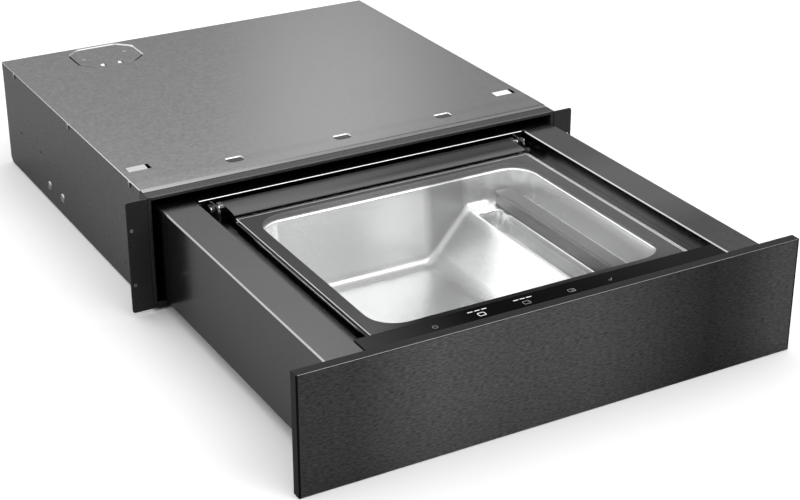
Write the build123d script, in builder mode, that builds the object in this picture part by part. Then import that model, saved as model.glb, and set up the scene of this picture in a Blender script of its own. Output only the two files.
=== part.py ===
from build123d import *
import math
import os

os.makedirs("parts", exist_ok=True)

# Built-in vacuum-sealing drawer, pulled out, lid shut. Millimetres.
# Frame: +X to the right seen from the front, +Y to the rear, +Z up.
# Origin: bottom centre of the whole object as it stands with the drawer out.
# Distances along the depth are given as "behind the front face" and turned
# into Y by back().

# ---------------------------------------------------------------- dimensions
OPEN_DEPTH = 930.0        # front face to housing rear, drawer out
TRAVEL = 410.0            # drawer travel
SHEET = 1.0               # housing and drawer sheet

# housing
COVER_HALF_W = 269.15
SIDE_OUT = 268.95
SIDE_IN = SIDE_OUT - SHEET
HOUSE_FRONT = 444.0
HOUSE_REAR = 930.0
HOUSE_TOP = 142.2
BASE_Z = 1.9
PAD_R = 13.0
REAR_PANEL_IN = 927.0
REAR_PANEL_OUT = 928.0

# front frame and ears
EAR_FRONT = 423.0
EAR_T = 1.5
EAR_HALF_W = 294.85
EAR_IN = 268.7
EAR_Z0, EAR_Z1 = 4.3, 140.0
EAR_HOLE_X = 289.6
EAR_HOLE_Z = (38.5, 105.6)
EAR_HOLE_R = 2.25
RAIL_TOP = 141.0
RAIL_LIP_Z = 136.9
POST_OUT, POST_IN = 268.7, 264.2

# runners
RUN_L = 450.0
RUN_Y0 = 447.0
RUN_Z = 34.0

# drawer front
FRONT_W = 594.0
FRONT_Z0, FRONT_Z1 = 0.4, 133.9
FRONT_T = 11.2
SKIN_T = 1.2

# drawer body
BOX_OUT, BOX_IN = 258.95, 215.65
BOX_Z0, BOX_Z1 = 17.4, 129.8
BOX_CHAMFER = 1.7
BOX_INNER = 1.3
TRAY_Z0 = 13.0
TRAY_HALF = 228.5
DRAWER_REAR = 490.0
DECK_Z = 111.5
COVER_FRONT = 410.0

# control strip
STRIP_HALF = 214.0
STRIP_Y0, STRIP_Y1 = 12.0, 43.0
STRIP_Z = 129.3
STRIP_T = 4.0

# chamber
RIM_HALF = 173.4
RIM_Y0, RIM_Y1 = 62.0, 348.0
RIM_R = 32.0
CH_T = 1.2
RIM_Z = DECK_Z + CH_T
DRAFT = 7.5
FLOOR_Z = 20.0
FLOOR_R = 12.0
VALLEY_X = 40.0
RIDGE_X = 95.5
RIDGE_R = 5.0
SHELF_Z = 74.6
TRENCH_Z = 52.0
SHELF_X = 130.0
TRENCH_Y0, TRENCH_Y1 = 84.0, 326.0

# sealing bar
BAR_X0, BAR_X1 = 131.0, 152.5
BAR_XC = (BAR_X0 + BAR_X1) / 2
BAR_Y0, BAR_Y1 = 74.0, 338.0
BAR_Z0, BAR_Z1 = 76.2, 91.6
BAND_T = 0.7
PISTON_Y = (109.0, 309.0)
PISTON_R = 4.95
BOSS_R = 15.0
PORT_X, PORT_Y = 161.8, 209.0

# lid
LID_HALF = 190.8
LID_Y0, LID_Y1 = 46.0, 363.0
GLASS_Z0, GLASS_Z1 = 117.5, 123.0
HINGE_Y, HINGE_Z = 395.5, 123.5
PIN_R = 3.0
BRACKET_X0, BRACKET_X1 = 199.0, 201.5


def back(d):
    """Y of a point that lies d behind the front face."""
    return d - OPEN_DEPTH / 2


def face_at(d):
    """Plane across the object, d behind the front face; local x is X, local y is Z."""
    return Plane.XZ.offset(-back(d))


def slab(x0, x1, d0, d1, z0, z1, mode=Mode.ADD):
    """Straight block given by its limits."""
    with BuildSketch(Plane.XY.offset(z0)) as sk:
        with Locations(((x0 + x1) / 2, (back(d0) + back(d1)) / 2)):
            Rectangle(x1 - x0, d1 - d0)
    extrude(sk.sketch, amount=z1 - z0, mode=mode)


def plate_xy(points, z0, z1, mode=Mode.ADD):
    """Level plate from an outline of (x, depth) points."""
    with BuildSketch(Plane.XY.offset(z0)) as sk:
        with BuildLine():
            Polyline(*[(x, back(d)) for x, d in points], close=True)
        make_face()
    extrude(sk.sketch, amount=z1 - z0, mode=mode)


def prism_x(points, x0, x1, mode=Mode.ADD):
    """Profile of (depth, z) points carried along X."""
    with BuildSketch(Plane.YZ.offset(x0)) as sk:
        with BuildLine():
            Polyline(*[(back(d), z) for d, z in points], close=True)
        make_face()
    extrude(sk.sketch, amount=x1 - x0, mode=mode)


def prism_y(points, d0, d1, mode=Mode.ADD):
    """Profile of (x, z) points carried along the depth."""
    with BuildSketch(face_at(d0)) as sk:
        with BuildLine():
            Polyline(*points, close=True)
        make_face()
    extrude(sk.sketch, amount=-(d1 - d0), mode=mode)


def disc_z(x, d, r, z0, z1, mode=Mode.ADD):
    """Upright cylinder."""
    with BuildSketch(Plane.XY.offset(z0)) as sk:
        with Locations((x, back(d))):
            Circle(r)
    extrude(sk.sketch, amount=z1 - z0, mode=mode)


def disc_y(x, z, r, d0, d1, mode=Mode.ADD):
    """Cylinder along the depth."""
    with BuildSketch(face_at(d0)) as sk:
        with Locations((x, z)):
            Circle(r)
    extrude(sk.sketch, amount=-(d1 - d0), mode=mode)


def disc_x(d, z, r, x0, x1, mode=Mode.ADD):
    """Cylinder along X."""
    with BuildSketch(Plane.YZ.offset(x0)) as sk:
        with Locations((back(d), z)):
            Circle(r)
    extrude(sk.sketch, amount=x1 - x0, mode=mode)


def round_xy(x0, x1, d0, d1, r, z0, z1, mode=Mode.ADD):
    """Level plate with rounded corners."""
    with BuildSketch(Plane.XY.offset(z0)) as sk:
        with Locations(((x0 + x1) / 2, (back(d0) + back(d1)) / 2)):
            RectangleRounded(x1 - x0, d1 - d0, r)
    extrude(sk.sketch, amount=z1 - z0, mode=mode)


def save(builder, name):
    builder.part.label = name
    export_step(builder.part, "parts/" + name + ".step")


# ================================================================= housing
# base pan: floor sheet with upturned sides, stiffening beads and air slots
with BuildPart() as base_pan:
    slab(-SIDE_IN, SIDE_IN, 446, REAR_PANEL_IN, BASE_Z, BASE_Z + SHEET)
    slab(-SIDE_IN, -SIDE_IN + SHEET, 446, REAR_PANEL_IN, BASE_Z, 7.5)
    slab(SIDE_IN - SHEET, SIDE_IN, 446, REAR_PANEL_IN, BASE_Z, 7.5)
    slab(-SIDE_IN + 1, SIDE_IN - 1, REAR_PANEL_IN - SHEET, REAR_PANEL_IN, BASE_Z, 12)
    for bx in (-150, -50, 50, 150):
        slab(bx - 6, bx + 6, 500, 800, BASE_Z + SHEET, BASE_Z + SHEET + 1.4)
    for col in range(-5, 6):
        slab(col * 16 - 3, col * 16 + 3, 832, 892, BASE_Z - 1, BASE_Z + 3, mode=Mode.SUBTRACT)
save(base_pan, "base_pan")

# four low pads that carry the housing on the cabinet shelf
with BuildPart() as base_pads:
    for px in (-225, 225):
        for pd in (482, 892):
            disc_z(px, pd, PAD_R, 0, BASE_Z)
    chamfer(base_pads.faces().sort_by(Axis.Z)[:4].edges(), 0.6)
save(base_pads, "base_pads")

# left side sheet: wall, top and rear flanges, rivet holes and small holes
with BuildPart() as left_side_panel:
    slab(-SIDE_OUT, -SIDE_IN, HOUSE_FRONT, 929, BASE_Z, HOUSE_TOP - SHEET)
    slab(-SIDE_OUT, -SIDE_OUT + 12, 453, 929, HOUSE_TOP - 2 * SHEET, HOUSE_TOP - SHEET)
    slab(-SIDE_OUT, -SIDE_OUT + 11, REAR_PANEL_OUT, 929, 6, HOUSE_TOP - SHEET)
    slab(-261.2, -256.0, 496.8, 512.7, 139, HOUSE_TOP, mode=Mode.SUBTRACT)
    prism_x([(922, BASE_Z - 1), (930, BASE_Z - 1), (930, 8.5)], -SIDE_OUT - 1, -SIDE_IN + 12, mode=Mode.SUBTRACT)
    for hd, hz, hr in ((873, 60.5, 1.7), (796, 61.2, 1.7), (466, 133.7, 1.1), (509, 25.1, 1.3), (769, 24.8, 3.2), (721, 25.6, 3.2)):
        disc_x(hd, hz, hr, -SIDE_OUT - 1, -SIDE_IN + 1, mode=Mode.SUBTRACT)
save(left_side_panel, "left_side_panel")

with BuildPart() as right_side_panel:
    mirror(left_side_panel.part, about=Plane.YZ)
save(right_side_panel, "right_side_panel")

# two large flat-headed rivets each side hold the runner brackets
with BuildPart() as side_rivets:
    for s in (-1, 1):
        for hd, hz in ((769, 24.8), (721, 25.6)):
            x_in, x_wall = s * (SIDE_IN - 1.2), s * SIDE_OUT
            disc_x(hd, hz, 3.1, min(x_in, x_wall), max(x_in, x_wall))
            x_head = s * (SIDE_OUT + 1.1)
            disc_x(hd, hz, 6.0, min(x_wall, x_head), max(x_wall, x_head))
    chamfer(side_rivets.edges().filter_by(GeomType.CIRCLE).filter_by(lambda e: abs(e.radius - 6.0) < 0.01 and abs(abs(e.center().X) - (SIDE_OUT + 1.1)) < 0.01), 0.8)
save(side_rivets, "side_rivets")

# top cover: sheet with a sloped front lip, rear flange, hook tabs, slots, louvres and a let-in access place
ACC = [(-184, 866), (-166, 848.5), (-113, 848.5), (-94.5, 866), (-94.5, 908), (-112, 925), (-166, 925), (-184, 908)]


NOTCHES = (-155.2, -131.4)


def octagon(grow, z0, z1, mode=Mode.ADD, slant=0):
    cx, cd = -139.25, 886.75
    pts = []
    for x, d in ACC:
        n = math.hypot(x - cx, d - cd)
        pts.append((x + (x - cx) / n * grow, d + (d - cd) / n * grow))
    with BuildSketch(Plane.XY.offset(z1 if slant else z0)) as sk:
        with BuildLine():
            Polyline(*[(x, back(d)) for x, d in pts], close=True)
        make_face()
        fillet(sk.vertices(), 9)
    extrude(sk.sketch, amount=(z0 - z1) if slant else (z1 - z0), taper=slant, mode=mode)


def moon_outline(x, grow):
    """Closed outline with tight corners at the rear and wide ones at the front."""
    with BuildSketch(Plane.XY.offset(HOUSE_TOP)) as sk:
        with Locations((x, back(473.5))):
            Rectangle(22 + 2 * grow, 15 + 2 * grow)
        fillet(sk.vertices().group_by(Axis.Y)[-1], 2.5)
        fillet(sk.vertices().group_by(Axis.Y)[0], 7)
    return sk.sketch


def moon_dish(x, grow, drop):
    """Pressed dish: sides at a slant, floor falling from the front edge to the rear edge."""
    with BuildPart() as dish:
        extrude(moon_outline(x, grow), amount=-2.6 - drop, taper=38)
        prism_x([(460, HOUSE_TOP + 1), (490, HOUSE_TOP + 1), (490, 140.5 - drop), (481, 141.05 - drop), (466, 141.95 - drop), (460, 142.2 - drop)], x - 20, x + 20, mode=Mode.INTERSECT)
    return dish.part


# open gaps at the two ends of the access plate
with BuildPart() as side_gaps:
    octagon(-0.3, 139.0, 140.7)
    octagon(-1.9, 139.0, 140.7, mode=Mode.SUBTRACT)
    slab(-171, -108, 840, 930, 138, 142, mode=Mode.SUBTRACT)

LOUVRES = (-139.5, 0.5, 139.8)
with BuildPart() as top_cover:
    slab(-COVER_HALF_W, COVER_HALF_W, HOUSE_FRONT, HOUSE_REAR, HOUSE_TOP - SHEET, HOUSE_TOP)
    chamfer(top_cover.edges().filter_by(Axis.Y).group_by(Axis.Z)[-1], 0.75)
    prism_x([(446, 142.2), (438.4, 141.0), (438.4, 140.0), (444, 141.2), (446, 141.2)], -268.0, 268.0)
    prism_x([(446, 142.2), (446, 143.2), (437, 143.2), (437, 140.779)], -268.0, 268.0, mode=Mode.SUBTRACT)
    slab(-COVER_HALF_W + 0.3, COVER_HALF_W - 0.3, HOUSE_REAR - SHEET, HOUSE_REAR, 131, HOUSE_TOP - SHEET)
    for s in (-1, 1):
        for td in (475.7, 676.0, 879.5):
            prism_y([(s * SIDE_OUT, 134.6), (s * (SIDE_OUT + 1.05), 134.6), (s * (SIDE_OUT + 1.05), 140.3), (s * SIDE_OUT, 141.5)], td - 2.6, td + 2.6)
    # embossed half moons
    for lx in LOUVRES:
        add(moon_dish(lx, 1.0, 1.0))
        add(moon_dish(lx, 0.0, 0.0), mode=Mode.SUBTRACT)
    # slots with a bent tongue
    for x0, x1, t0, t1 in ((-260.5, -232.5, -259.6, -236.5), (232.5, 260.5, 233.4, 256.5)):
        slab(x0, x1, 497.8, 511.7, 140, 143, mode=Mode.SUBTRACT)
        prism_x([(511.7, 142.1), (511.7, 141.1), (498.6, 140.15), (498.6, 141.15)], t0, t1)
    # embossed place of the access plate, with slanted sides, and its opening
    octagon(2.2, HOUSE_TOP - 2.5, HOUSE_TOP - 0.5)
    octagon(1.4, HOUSE_TOP - 1.6, HOUSE_TOP, mode=Mode.SUBTRACT, slant=42)
    add(side_gaps.part, mode=Mode.SUBTRACT)
    round_xy(-172, -118, 866, 912, 8, 138, 143, mode=Mode.SUBTRACT)
    for nx in NOTCHES:
        slab(nx - 3.5, nx + 3.5, 852.6, 858.6, 138, 143, mode=Mode.SUBTRACT)
    disc_z(-111.5, 890.0, 1.6, 138, 143, mode=Mode.SUBTRACT)
save(top_cover, "top_cover")

# access plate over the mains terminals, hooked at the front and screwed at the rear
with BuildPart() as terminal_cover:
    octagon(-1.9, 140.6, 141.5)
    disc_z(-111.5, 890.0, 1.6, 140, 143, mode=Mode.SUBTRACT)
    for nx in NOTCHES:
        slab(nx - 3.5, nx + 3.5, 850, 858.6, 140, 143, mode=Mode.SUBTRACT)
        prism_x([(858.6, 141.5), (858.6, 140.6), (853.2, 138.9), (853.2, 139.8)], nx - 2.6, nx + 2.6)
    with BuildSketch(Plane.XY.offset(141.5)) as dimple:
        with Locations((-170.6, back(884.8))):
            Circle(3.2)
    extrude(dimple.sketch, amount=-0.4, mode=Mode.SUBTRACT)
save(terminal_cover, "terminal_cover")

# rear sheet with air slots, inlet cut-out and screw holes
INLET_X, INLET_Z = -139.0, 70.0
with BuildPart() as rear_panel:
    slab(-SIDE_IN + 0.05, SIDE_IN - 0.05, REAR_PANEL_IN, REAR_PANEL_OUT, 3.0, 140.1)
    for row in range(5):
        for col in range(9):
            slab(60 + col * 18 - 6, 60 + col * 18 + 6, 926, 929, 40 + row * 14, 44 + row * 14, mode=Mode.SUBTRACT)
    slab(INLET_X - 14, INLET_X + 14, 926, 929, INLET_Z - 10.5, INLET_Z + 10.5, mode=Mode.SUBTRACT)
    for sx in (-262, 262):
        for sz in (22, 72, 122):
            disc_y(sx, sz, 1.7, 926, 929, mode=Mode.SUBTRACT)
save(rear_panel, "rear_panel")

# recessed three-pin appliance inlet
with BuildPart() as mains_inlet:
    slab(INLET_X - 13.8, INLET_X + 13.8, 905, 928, INLET_Z - 10.3, INLET_Z + 10.3)
    with BuildSketch(face_at(928)) as fl:
        with Locations((INLET_X, INLET_Z)):
            RectangleRounded(46, 24, 3)
    extrude(fl.sketch, amount=-1.7)
    prism_y([(INLET_X - 12, INLET_Z - 8), (INLET_X + 12, INLET_Z - 8), (INLET_X + 12, INLET_Z + 4), (INLET_X + 8, INLET_Z + 8), (INLET_X - 8, INLET_Z + 8), (INLET_X - 12, INLET_Z + 4)], 911, 931, mode=Mode.SUBTRACT)
    for px, pz in ((-7, -2), (0, 2.5), (7, -2)):
        slab(INLET_X + px - 1, INLET_X + px + 1, 910, 925, INLET_Z + pz - 2, INLET_Z + pz + 2)
save(mains_inlet, "mains_inlet")

# terminal block on the rear sheet under the access plate
with BuildPart() as terminal_block:
    slab(-167, -111, 907, REAR_PANEL_IN, 104, 122)
    for i in range(5):
        tx = -161.5 + i * 11.25
        disc_z(tx, 917, 3.4, 115, 123, mode=Mode.SUBTRACT)
        disc_z(tx, 917, 3.2, 112, 119)
    for i in range(6):
        tx = -167 + i * 11.25
        slab(max(tx - 0.8, -167), min(tx + 0.8, -110.9), 907, REAR_PANEL_IN, 122, 125)
save(terminal_block, "terminal_block")

# screws of the rear sheet and of the access plate
with BuildPart() as housing_screws:
    for sx in (-262, 262):
        for sz in (22, 72, 122):
            disc_y(sx, sz, 1.6, 921, 928.0)
            disc_y(sx, sz, 3.4, 924.999, 926.999)
    disc_z(-111.5, 890.0, 1.5, 136.5, 141.5)
    disc_z(-111.5, 890.0, 3.0, 141.5, 142.0)
save(housing_screws, "housing_screws")

# front frame: top rail with a lip and a lapped step under the cover
with BuildPart() as frame_top_rail:
    prism_x([(EAR_FRONT, RAIL_LIP_Z), (EAR_FRONT, RAIL_TOP), (437.5, RAIL_TOP), (437.5, 138.4), (436.3, 138.4), (436.3, 139.8), (424.2, 139.8), (424.2, RAIL_LIP_Z)], -268.65, 268.65)
    slab(-267.85, 267.85, 437.5, 452, 138.4, 139.6)
    fillet(frame_top_rail.edges().filter_by(Axis.X).group_by(Axis.Z)[-1].sort_by(Axis.Y)[0], 0.9)
save(frame_top_rail, "frame_top_rail")

# bottom rail, lapped over the base pan
with BuildPart() as frame_bottom_rail:
    slab(-263.95, 263.95, 423.6, 424.8, 3.0, 11.0)
    slab(-263.95, 263.95, 424.8, 452, 3.0, 4.2)
save(frame_bottom_rail, "frame_bottom_rail")

# side posts: folded channels with a rounded nose
with BuildPart() as frame_left_post:
    slab(-POST_OUT, -POST_IN, 423.2, 446.0, 4.3, RAIL_LIP_Z)
    fillet(frame_left_post.edges().filter_by(Axis.Z).group_by(Axis.Y)[0], 1.3)
    slab(-POST_OUT + 1.2, -POST_IN - 1.2, 425.2, 450, 4.3, RAIL_LIP_Z, mode=Mode.SUBTRACT)
    slab(-POST_OUT - 1, -POST_OUT + 1.2, 443.8, 447, 4.3, RAIL_LIP_Z, mode=Mode.SUBTRACT)
save(frame_left_post, "frame_left_post")

with BuildPart() as frame_right_post:
    mirror(frame_left_post.part, about=Plane.YZ)
save(frame_right_post, "frame_right_post")

# screw ears: angle with two holes, outer corners rounded
with BuildPart() as left_ear:
    slab(-EAR_HALF_W, -EAR_IN, EAR_FRONT, EAR_FRONT + EAR_T, EAR_Z0, EAR_Z1)
    slab(-EAR_IN - 1.5, -EAR_IN, EAR_FRONT + EAR_T, HOUSE_FRONT - 0.3, EAR_Z0, EAR_Z1)
    fillet(left_ear.edges().filter_by(Axis.Y).group_by(Axis.X)[0], 3.0)
    fillet(left_ear.edges().filter_by(Axis.Z).group_by(Axis.X)[-1].sort_by(Axis.Y)[0], 1.2)
    for hz in EAR_HOLE_Z:
        disc_y(-EAR_HOLE_X, hz, EAR_HOLE_R, 420, 430, mode=Mode.SUBTRACT)
save(left_ear, "left_ear")

with BuildPart() as right_ear:
    mirror(left_ear.part, about=Plane.YZ)
save(right_ear, "right_ear")

# runner brackets: channels riveted to the side sheets, the drawer's outer wall runs inside them
with BuildPart() as runner_brackets:
    prism_y([(-267.9, 8), (-267.9, 40), (-266.7, 40), (-266.7, 9.2), (-242.5, 9.2), (-242.5, 52), (-241.3, 52), (-241.3, 8)], RUN_Y0, 902)
    for hd, hz in ((769, 24.8), (721, 25.6)):
        disc_x(hd, hz, 3.2, -269, -266, mode=Mode.SUBTRACT)
    mirror(runner_brackets.part, about=Plane.YZ)
save(runner_brackets, "runner_brackets")

# push-to-open latch on the rear sheet
with BuildPart() as latch_body:
    slab(-14, 14, 908, REAR_PANEL_IN, 30, 54)
    slab(-20, 20, 925.2, REAR_PANEL_IN, 24, 60)
    disc_y(0, 42, 5.3, 900, 924, mode=Mode.SUBTRACT)
save(latch_body, "latch_body")

with BuildPart() as latch_plunger:
    disc_y(0, 42, 5.2, 901.6, 920)
    fillet(latch_plunger.edges().filter_by(GeomType.CIRCLE).sort_by(Axis.Y)[0], 1.4)
save(latch_plunger, "latch_plunger")


# ================================================================= runners
def both_sides_profile(pts, d0, d1):
    prism_y(pts, d0, d1)
    prism_y([(-x, z) for x, z in pts], d0, d1)


# outer members, fixed on the brackets
with BuildPart() as runner_outers:
    both_sides_profile([(-241.3, 14), (-241.3, 54), (-231.6, 54), (-231.6, 50.6), (-232.8, 50.6), (-232.8, 52.8), (-240.1, 52.8), (-240.1, 15.2), (-232.8, 15.2), (-232.8, 17.4), (-231.6, 17.4), (-231.6, 14)], RUN_Y0, RUN_Y0 + RUN_L)
save(runner_outers, "runner_outers")

# middle members, half way out
with BuildPart() as runner_middles:
    both_sides_profile([(-238.2, 18.2), (-238.2, 49.8), (-234.6, 49.8), (-234.6, 48.8), (-237.2, 48.8), (-237.2, 19.2), (-234.6, 19.2), (-234.6, 18.2)], RUN_Y0 - TRAVEL / 2, RUN_Y0 - TRAVEL / 2 + RUN_L)
save(runner_middles, "runner_middles")

# inner members, fixed to the drawer tray
with BuildPart() as runner_inners:
    both_sides_profile([(-228.5, 21), (-228.5, 47), (-236.4, 47), (-236.4, 46), (-229.5, 46), (-229.5, 22), (-236.4, 22), (-236.4, 21)], RUN_Y0 - TRAVEL, RUN_Y0 - TRAVEL + RUN_L)
save(runner_inners, "runner_inners")

# ============================================================= drawer front
# folded brushed skin, open at the back
with BuildPart() as front_skin:
    slab(-FRONT_W / 2, FRONT_W / 2, 0, FRONT_T, FRONT_Z0, FRONT_Z1)
    fillet(front_skin.edges().group_by(Axis.Y)[0] + front_skin.edges().filter_by(Axis.Y), 0.8)
    slab(-FRONT_W / 2 + SKIN_T, FRONT_W / 2 - SKIN_T, SKIN_T, FRONT_T + 1, FRONT_Z0 + SKIN_T, FRONT_Z1 - SKIN_T, mode=Mode.SUBTRACT)
save(front_skin, "front_skin")

with BuildPart() as front_core:
    slab(-FRONT_W / 2 + SKIN_T + 0.2, FRONT_W / 2 - SKIN_T - 0.2, SKIN_T, FRONT_T - SKIN_T, FRONT_Z0 + SKIN_T + 0.2, FRONT_Z1 - SKIN_T - 0.2)
save(front_core, "front_core")

with BuildPart() as front_back_plate:
    slab(-FRONT_W / 2 + SKIN_T + 0.1, FRONT_W / 2 - SKIN_T - 0.1, FRONT_T - SKIN_T, FRONT_T, FRONT_Z0 + SKIN_T + 0.1, FRONT_Z1 - SKIN_T - 0.1)
    for s in (-1, 1):
        for hz in (45, 100):
            disc_y(s * 240, hz, 2.2, 9, 12, mode=Mode.SUBTRACT)
save(front_back_plate, "front_back_plate")

# angles that tie the front to the side boxes
with BuildPart() as front_brackets:
    slab(-257.9, -222, FRONT_T, FRONT_T + 2, 62, 118)
    slab(-257.9, -255.9, FRONT_T + 2, 70, 62, 118)
    for hz in (100,):
        disc_y(-240, hz, 2.2, 10, 15, mode=Mode.SUBTRACT)
    mirror(front_brackets.part, about=Plane.YZ)
save(front_brackets, "front_brackets")

# soft buffers between the front and the frame
with BuildPart() as front_buffers:
    for s in (-1, 1):
        for hz in (24, 118):
            disc_y(s * 283, hz, 5, FRONT_T, FRONT_T + 1.2)
save(front_buffers, "front_buffers")

# ============================================================== drawer body
# side boxes: folded downwards channels with a chamfered outer top edge
with BuildPart() as left_side_box:
    prism_y(
        [
            (-BOX_OUT, BOX_Z0), (-BOX_OUT, BOX_Z1 - BOX_CHAMFER), (-BOX_OUT + BOX_CHAMFER, BOX_Z1), (-BOX_IN - BOX_INNER, BOX_Z1), (-BOX_IN, BOX_Z1 - BOX_INNER), (-BOX_IN, TRAY_Z0 + SHEET),
            (-BOX_IN - SHEET, TRAY_Z0 + SHEET), (-BOX_IN - SHEET, BOX_Z1 - BOX_INNER - 0.4), (-BOX_IN - BOX_INNER - 0.4, BOX_Z1 - SHEET), (-BOX_OUT + BOX_CHAMFER + 0.45, BOX_Z1 - SHEET), (-BOX_OUT + SHEET, BOX_Z1 - BOX_CHAMFER - 0.45),
            (-BOX_OUT + SHEET, BOX_Z0 + SHEET), (-250.5, BOX_Z0 + SHEET), (-250.5, BOX_Z0),
        ],
        FRONT_T, DRAWER_REAR,
    )
save(left_side_box, "left_side_box")

with BuildPart() as right_side_box:
    mirror(left_side_box.part, about=Plane.YZ)
save(right_side_box, "right_side_box")

# tray under the chamber and the rear compartment; its sides carry the inner runner members
with BuildPart() as drawer_tray:
    slab(-TRAY_HALF, TRAY_HALF, FRONT_T, DRAWER_REAR, TRAY_Z0, TRAY_Z0 + SHEET)
    for s in (-1, 1):
        xa, xb = s * TRAY_HALF, s * (TRAY_HALF - SHEET)
        slab(min(xa, xb), max(xa, xb), 30, DRAWER_REAR - 2, TRAY_Z0 + SHEET, 52)
    slab(-214, 214, FRONT_T, FRONT_T + SHEET, TRAY_Z0 + SHEET, 60)
    for col in range(-4, 5):
        slab(80 + col * 12 - 2.5, 80 + col * 12 + 2.5, 400, 450, TRAY_Z0 - 1, TRAY_Z0 + 2, mode=Mode.SUBTRACT)
save(drawer_tray, "drawer_tray")

# rear wall of the drawer with air slots
with BuildPart() as drawer_rear_wall:
    slab(-BOX_IN + 0.05, BOX_IN - 0.05, DRAWER_REAR - SHEET, DRAWER_REAR, TRAY_Z0 + SHEET, BOX_Z1 - SHEET)
    slab(-BOX_IN + 4, BOX_IN - 4, 475, DRAWER_REAR - SHEET, BOX_Z1 - 2 * SHEET, BOX_Z1 - SHEET)
    for row in range(4):
        for col in range(8):
            slab(45 + col * 16 - 5, 45 + col * 16 + 5, 488, 491, 40 + row * 13, 44 + row * 13, mode=Mode.SUBTRACT)
    slab(-190, -150, 488, 491, 24, 40, mode=Mode.SUBTRACT)
save(drawer_rear_wall, "drawer_rear_wall")

# striker of the push latch
with BuildPart() as latch_striker:
    slab(-16, 16, DRAWER_REAR, DRAWER_REAR + 1.2, 28, 56)
save(latch_striker, "latch_striker")

# painted deck round the chamber
with BuildPart() as deck_plate:
    slab(-BOX_IN + 0.1, BOX_IN - 0.1, FRONT_T, 470, DECK_Z - SHEET, DECK_Z)
    for s in (-1, 1):
        xa, xb = s * (BOX_IN - 0.1), s * (BOX_IN - 1.1)
        slab(min(xa, xb), max(xa, xb), FRONT_T, 470, DECK_Z - 12, DECK_Z - SHEET)
    round_xy(-RIM_HALF - 3.6, RIM_HALF + 3.6, RIM_Y0 - 3.6, RIM_Y1 + 3.6, RIM_R + 3.6, DECK_Z - 5, DECK_Z + 5, mode=Mode.SUBTRACT)
save(deck_plate, "deck_plate")

# cover over the rear compartment, flush with the side boxes
with BuildPart() as rear_cover_plate:
    slab(-213.5, 213.5, COVER_FRONT, DRAWER_REAR, BOX_Z1 - SHEET, BOX_Z1)
    slab(-213.5, 213.5, COVER_FRONT, COVER_FRONT + SHEET, 119, BOX_Z1 - SHEET)
    for s in (-1, 1):
        xa, xb = s * 213.5, s * 212.5
        slab(min(xa, xb), max(xa, xb), COVER_FRONT + SHEET, 470, DECK_Z, BOX_Z1 - SHEET)
    chamfer(rear_cover_plate.edges().filter_by(Axis.X).group_by(Axis.Y)[0].sort_by(Axis.Z)[-1], 0.45)
save(rear_cover_plate, "rear_cover_plate")

# ============================================================ control strip
with BuildPart() as control_glass:
    slab(-STRIP_HALF, STRIP_HALF, STRIP_Y0, STRIP_Y1, STRIP_Z - STRIP_T, STRIP_Z)
    chamfer(control_glass.edges().group_by(Axis.Z)[-1], 0.4)
save(control_glass, "control_glass")

with BuildPart() as control_carrier:
    slab(-213.5, 213.5, STRIP_Y0 + 0.5, STRIP_Y1 - 0.5, DECK_Z, STRIP_Z - STRIP_T)
    slab(-211.5, 211.5, STRIP_Y0 + 2.5, STRIP_Y1 - 2.5, DECK_Z + 2, STRIP_Z, mode=Mode.SUBTRACT)
save(control_carrier, "control_carrier")

with BuildPart() as control_board:
    slab(-195, 195, STRIP_Y0 + 3.5, STRIP_Y1 - 3.5, STRIP_Z - STRIP_T - 3.2, STRIP_Z - STRIP_T - 1.6)
    for bx, bw, bd in ((-150, 6, 8), (-60, 14, 14), (10, 10, 10), (90, 18, 12), (160, 8, 8)):
        slab(bx - bw / 2, bx + bw / 2, 27.5 - bd / 2, 27.5 + bd / 2, STRIP_Z - STRIP_T - 5.2, STRIP_Z - STRIP_T - 3.2)
    for bx in (-180, 180):
        disc_z(bx, 27.5, 3, DECK_Z + 2, STRIP_Z - STRIP_T - 3.2)
    for lx in (-134, -92, -81, -70, -39, -29, -18, 24.5, 72.5):
        slab(lx - 1.5, lx + 1.5, 28, 31, STRIP_Z - STRIP_T - 1.6, STRIP_Z - STRIP_T - 0.6)
save(control_board, "control_board")


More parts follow.
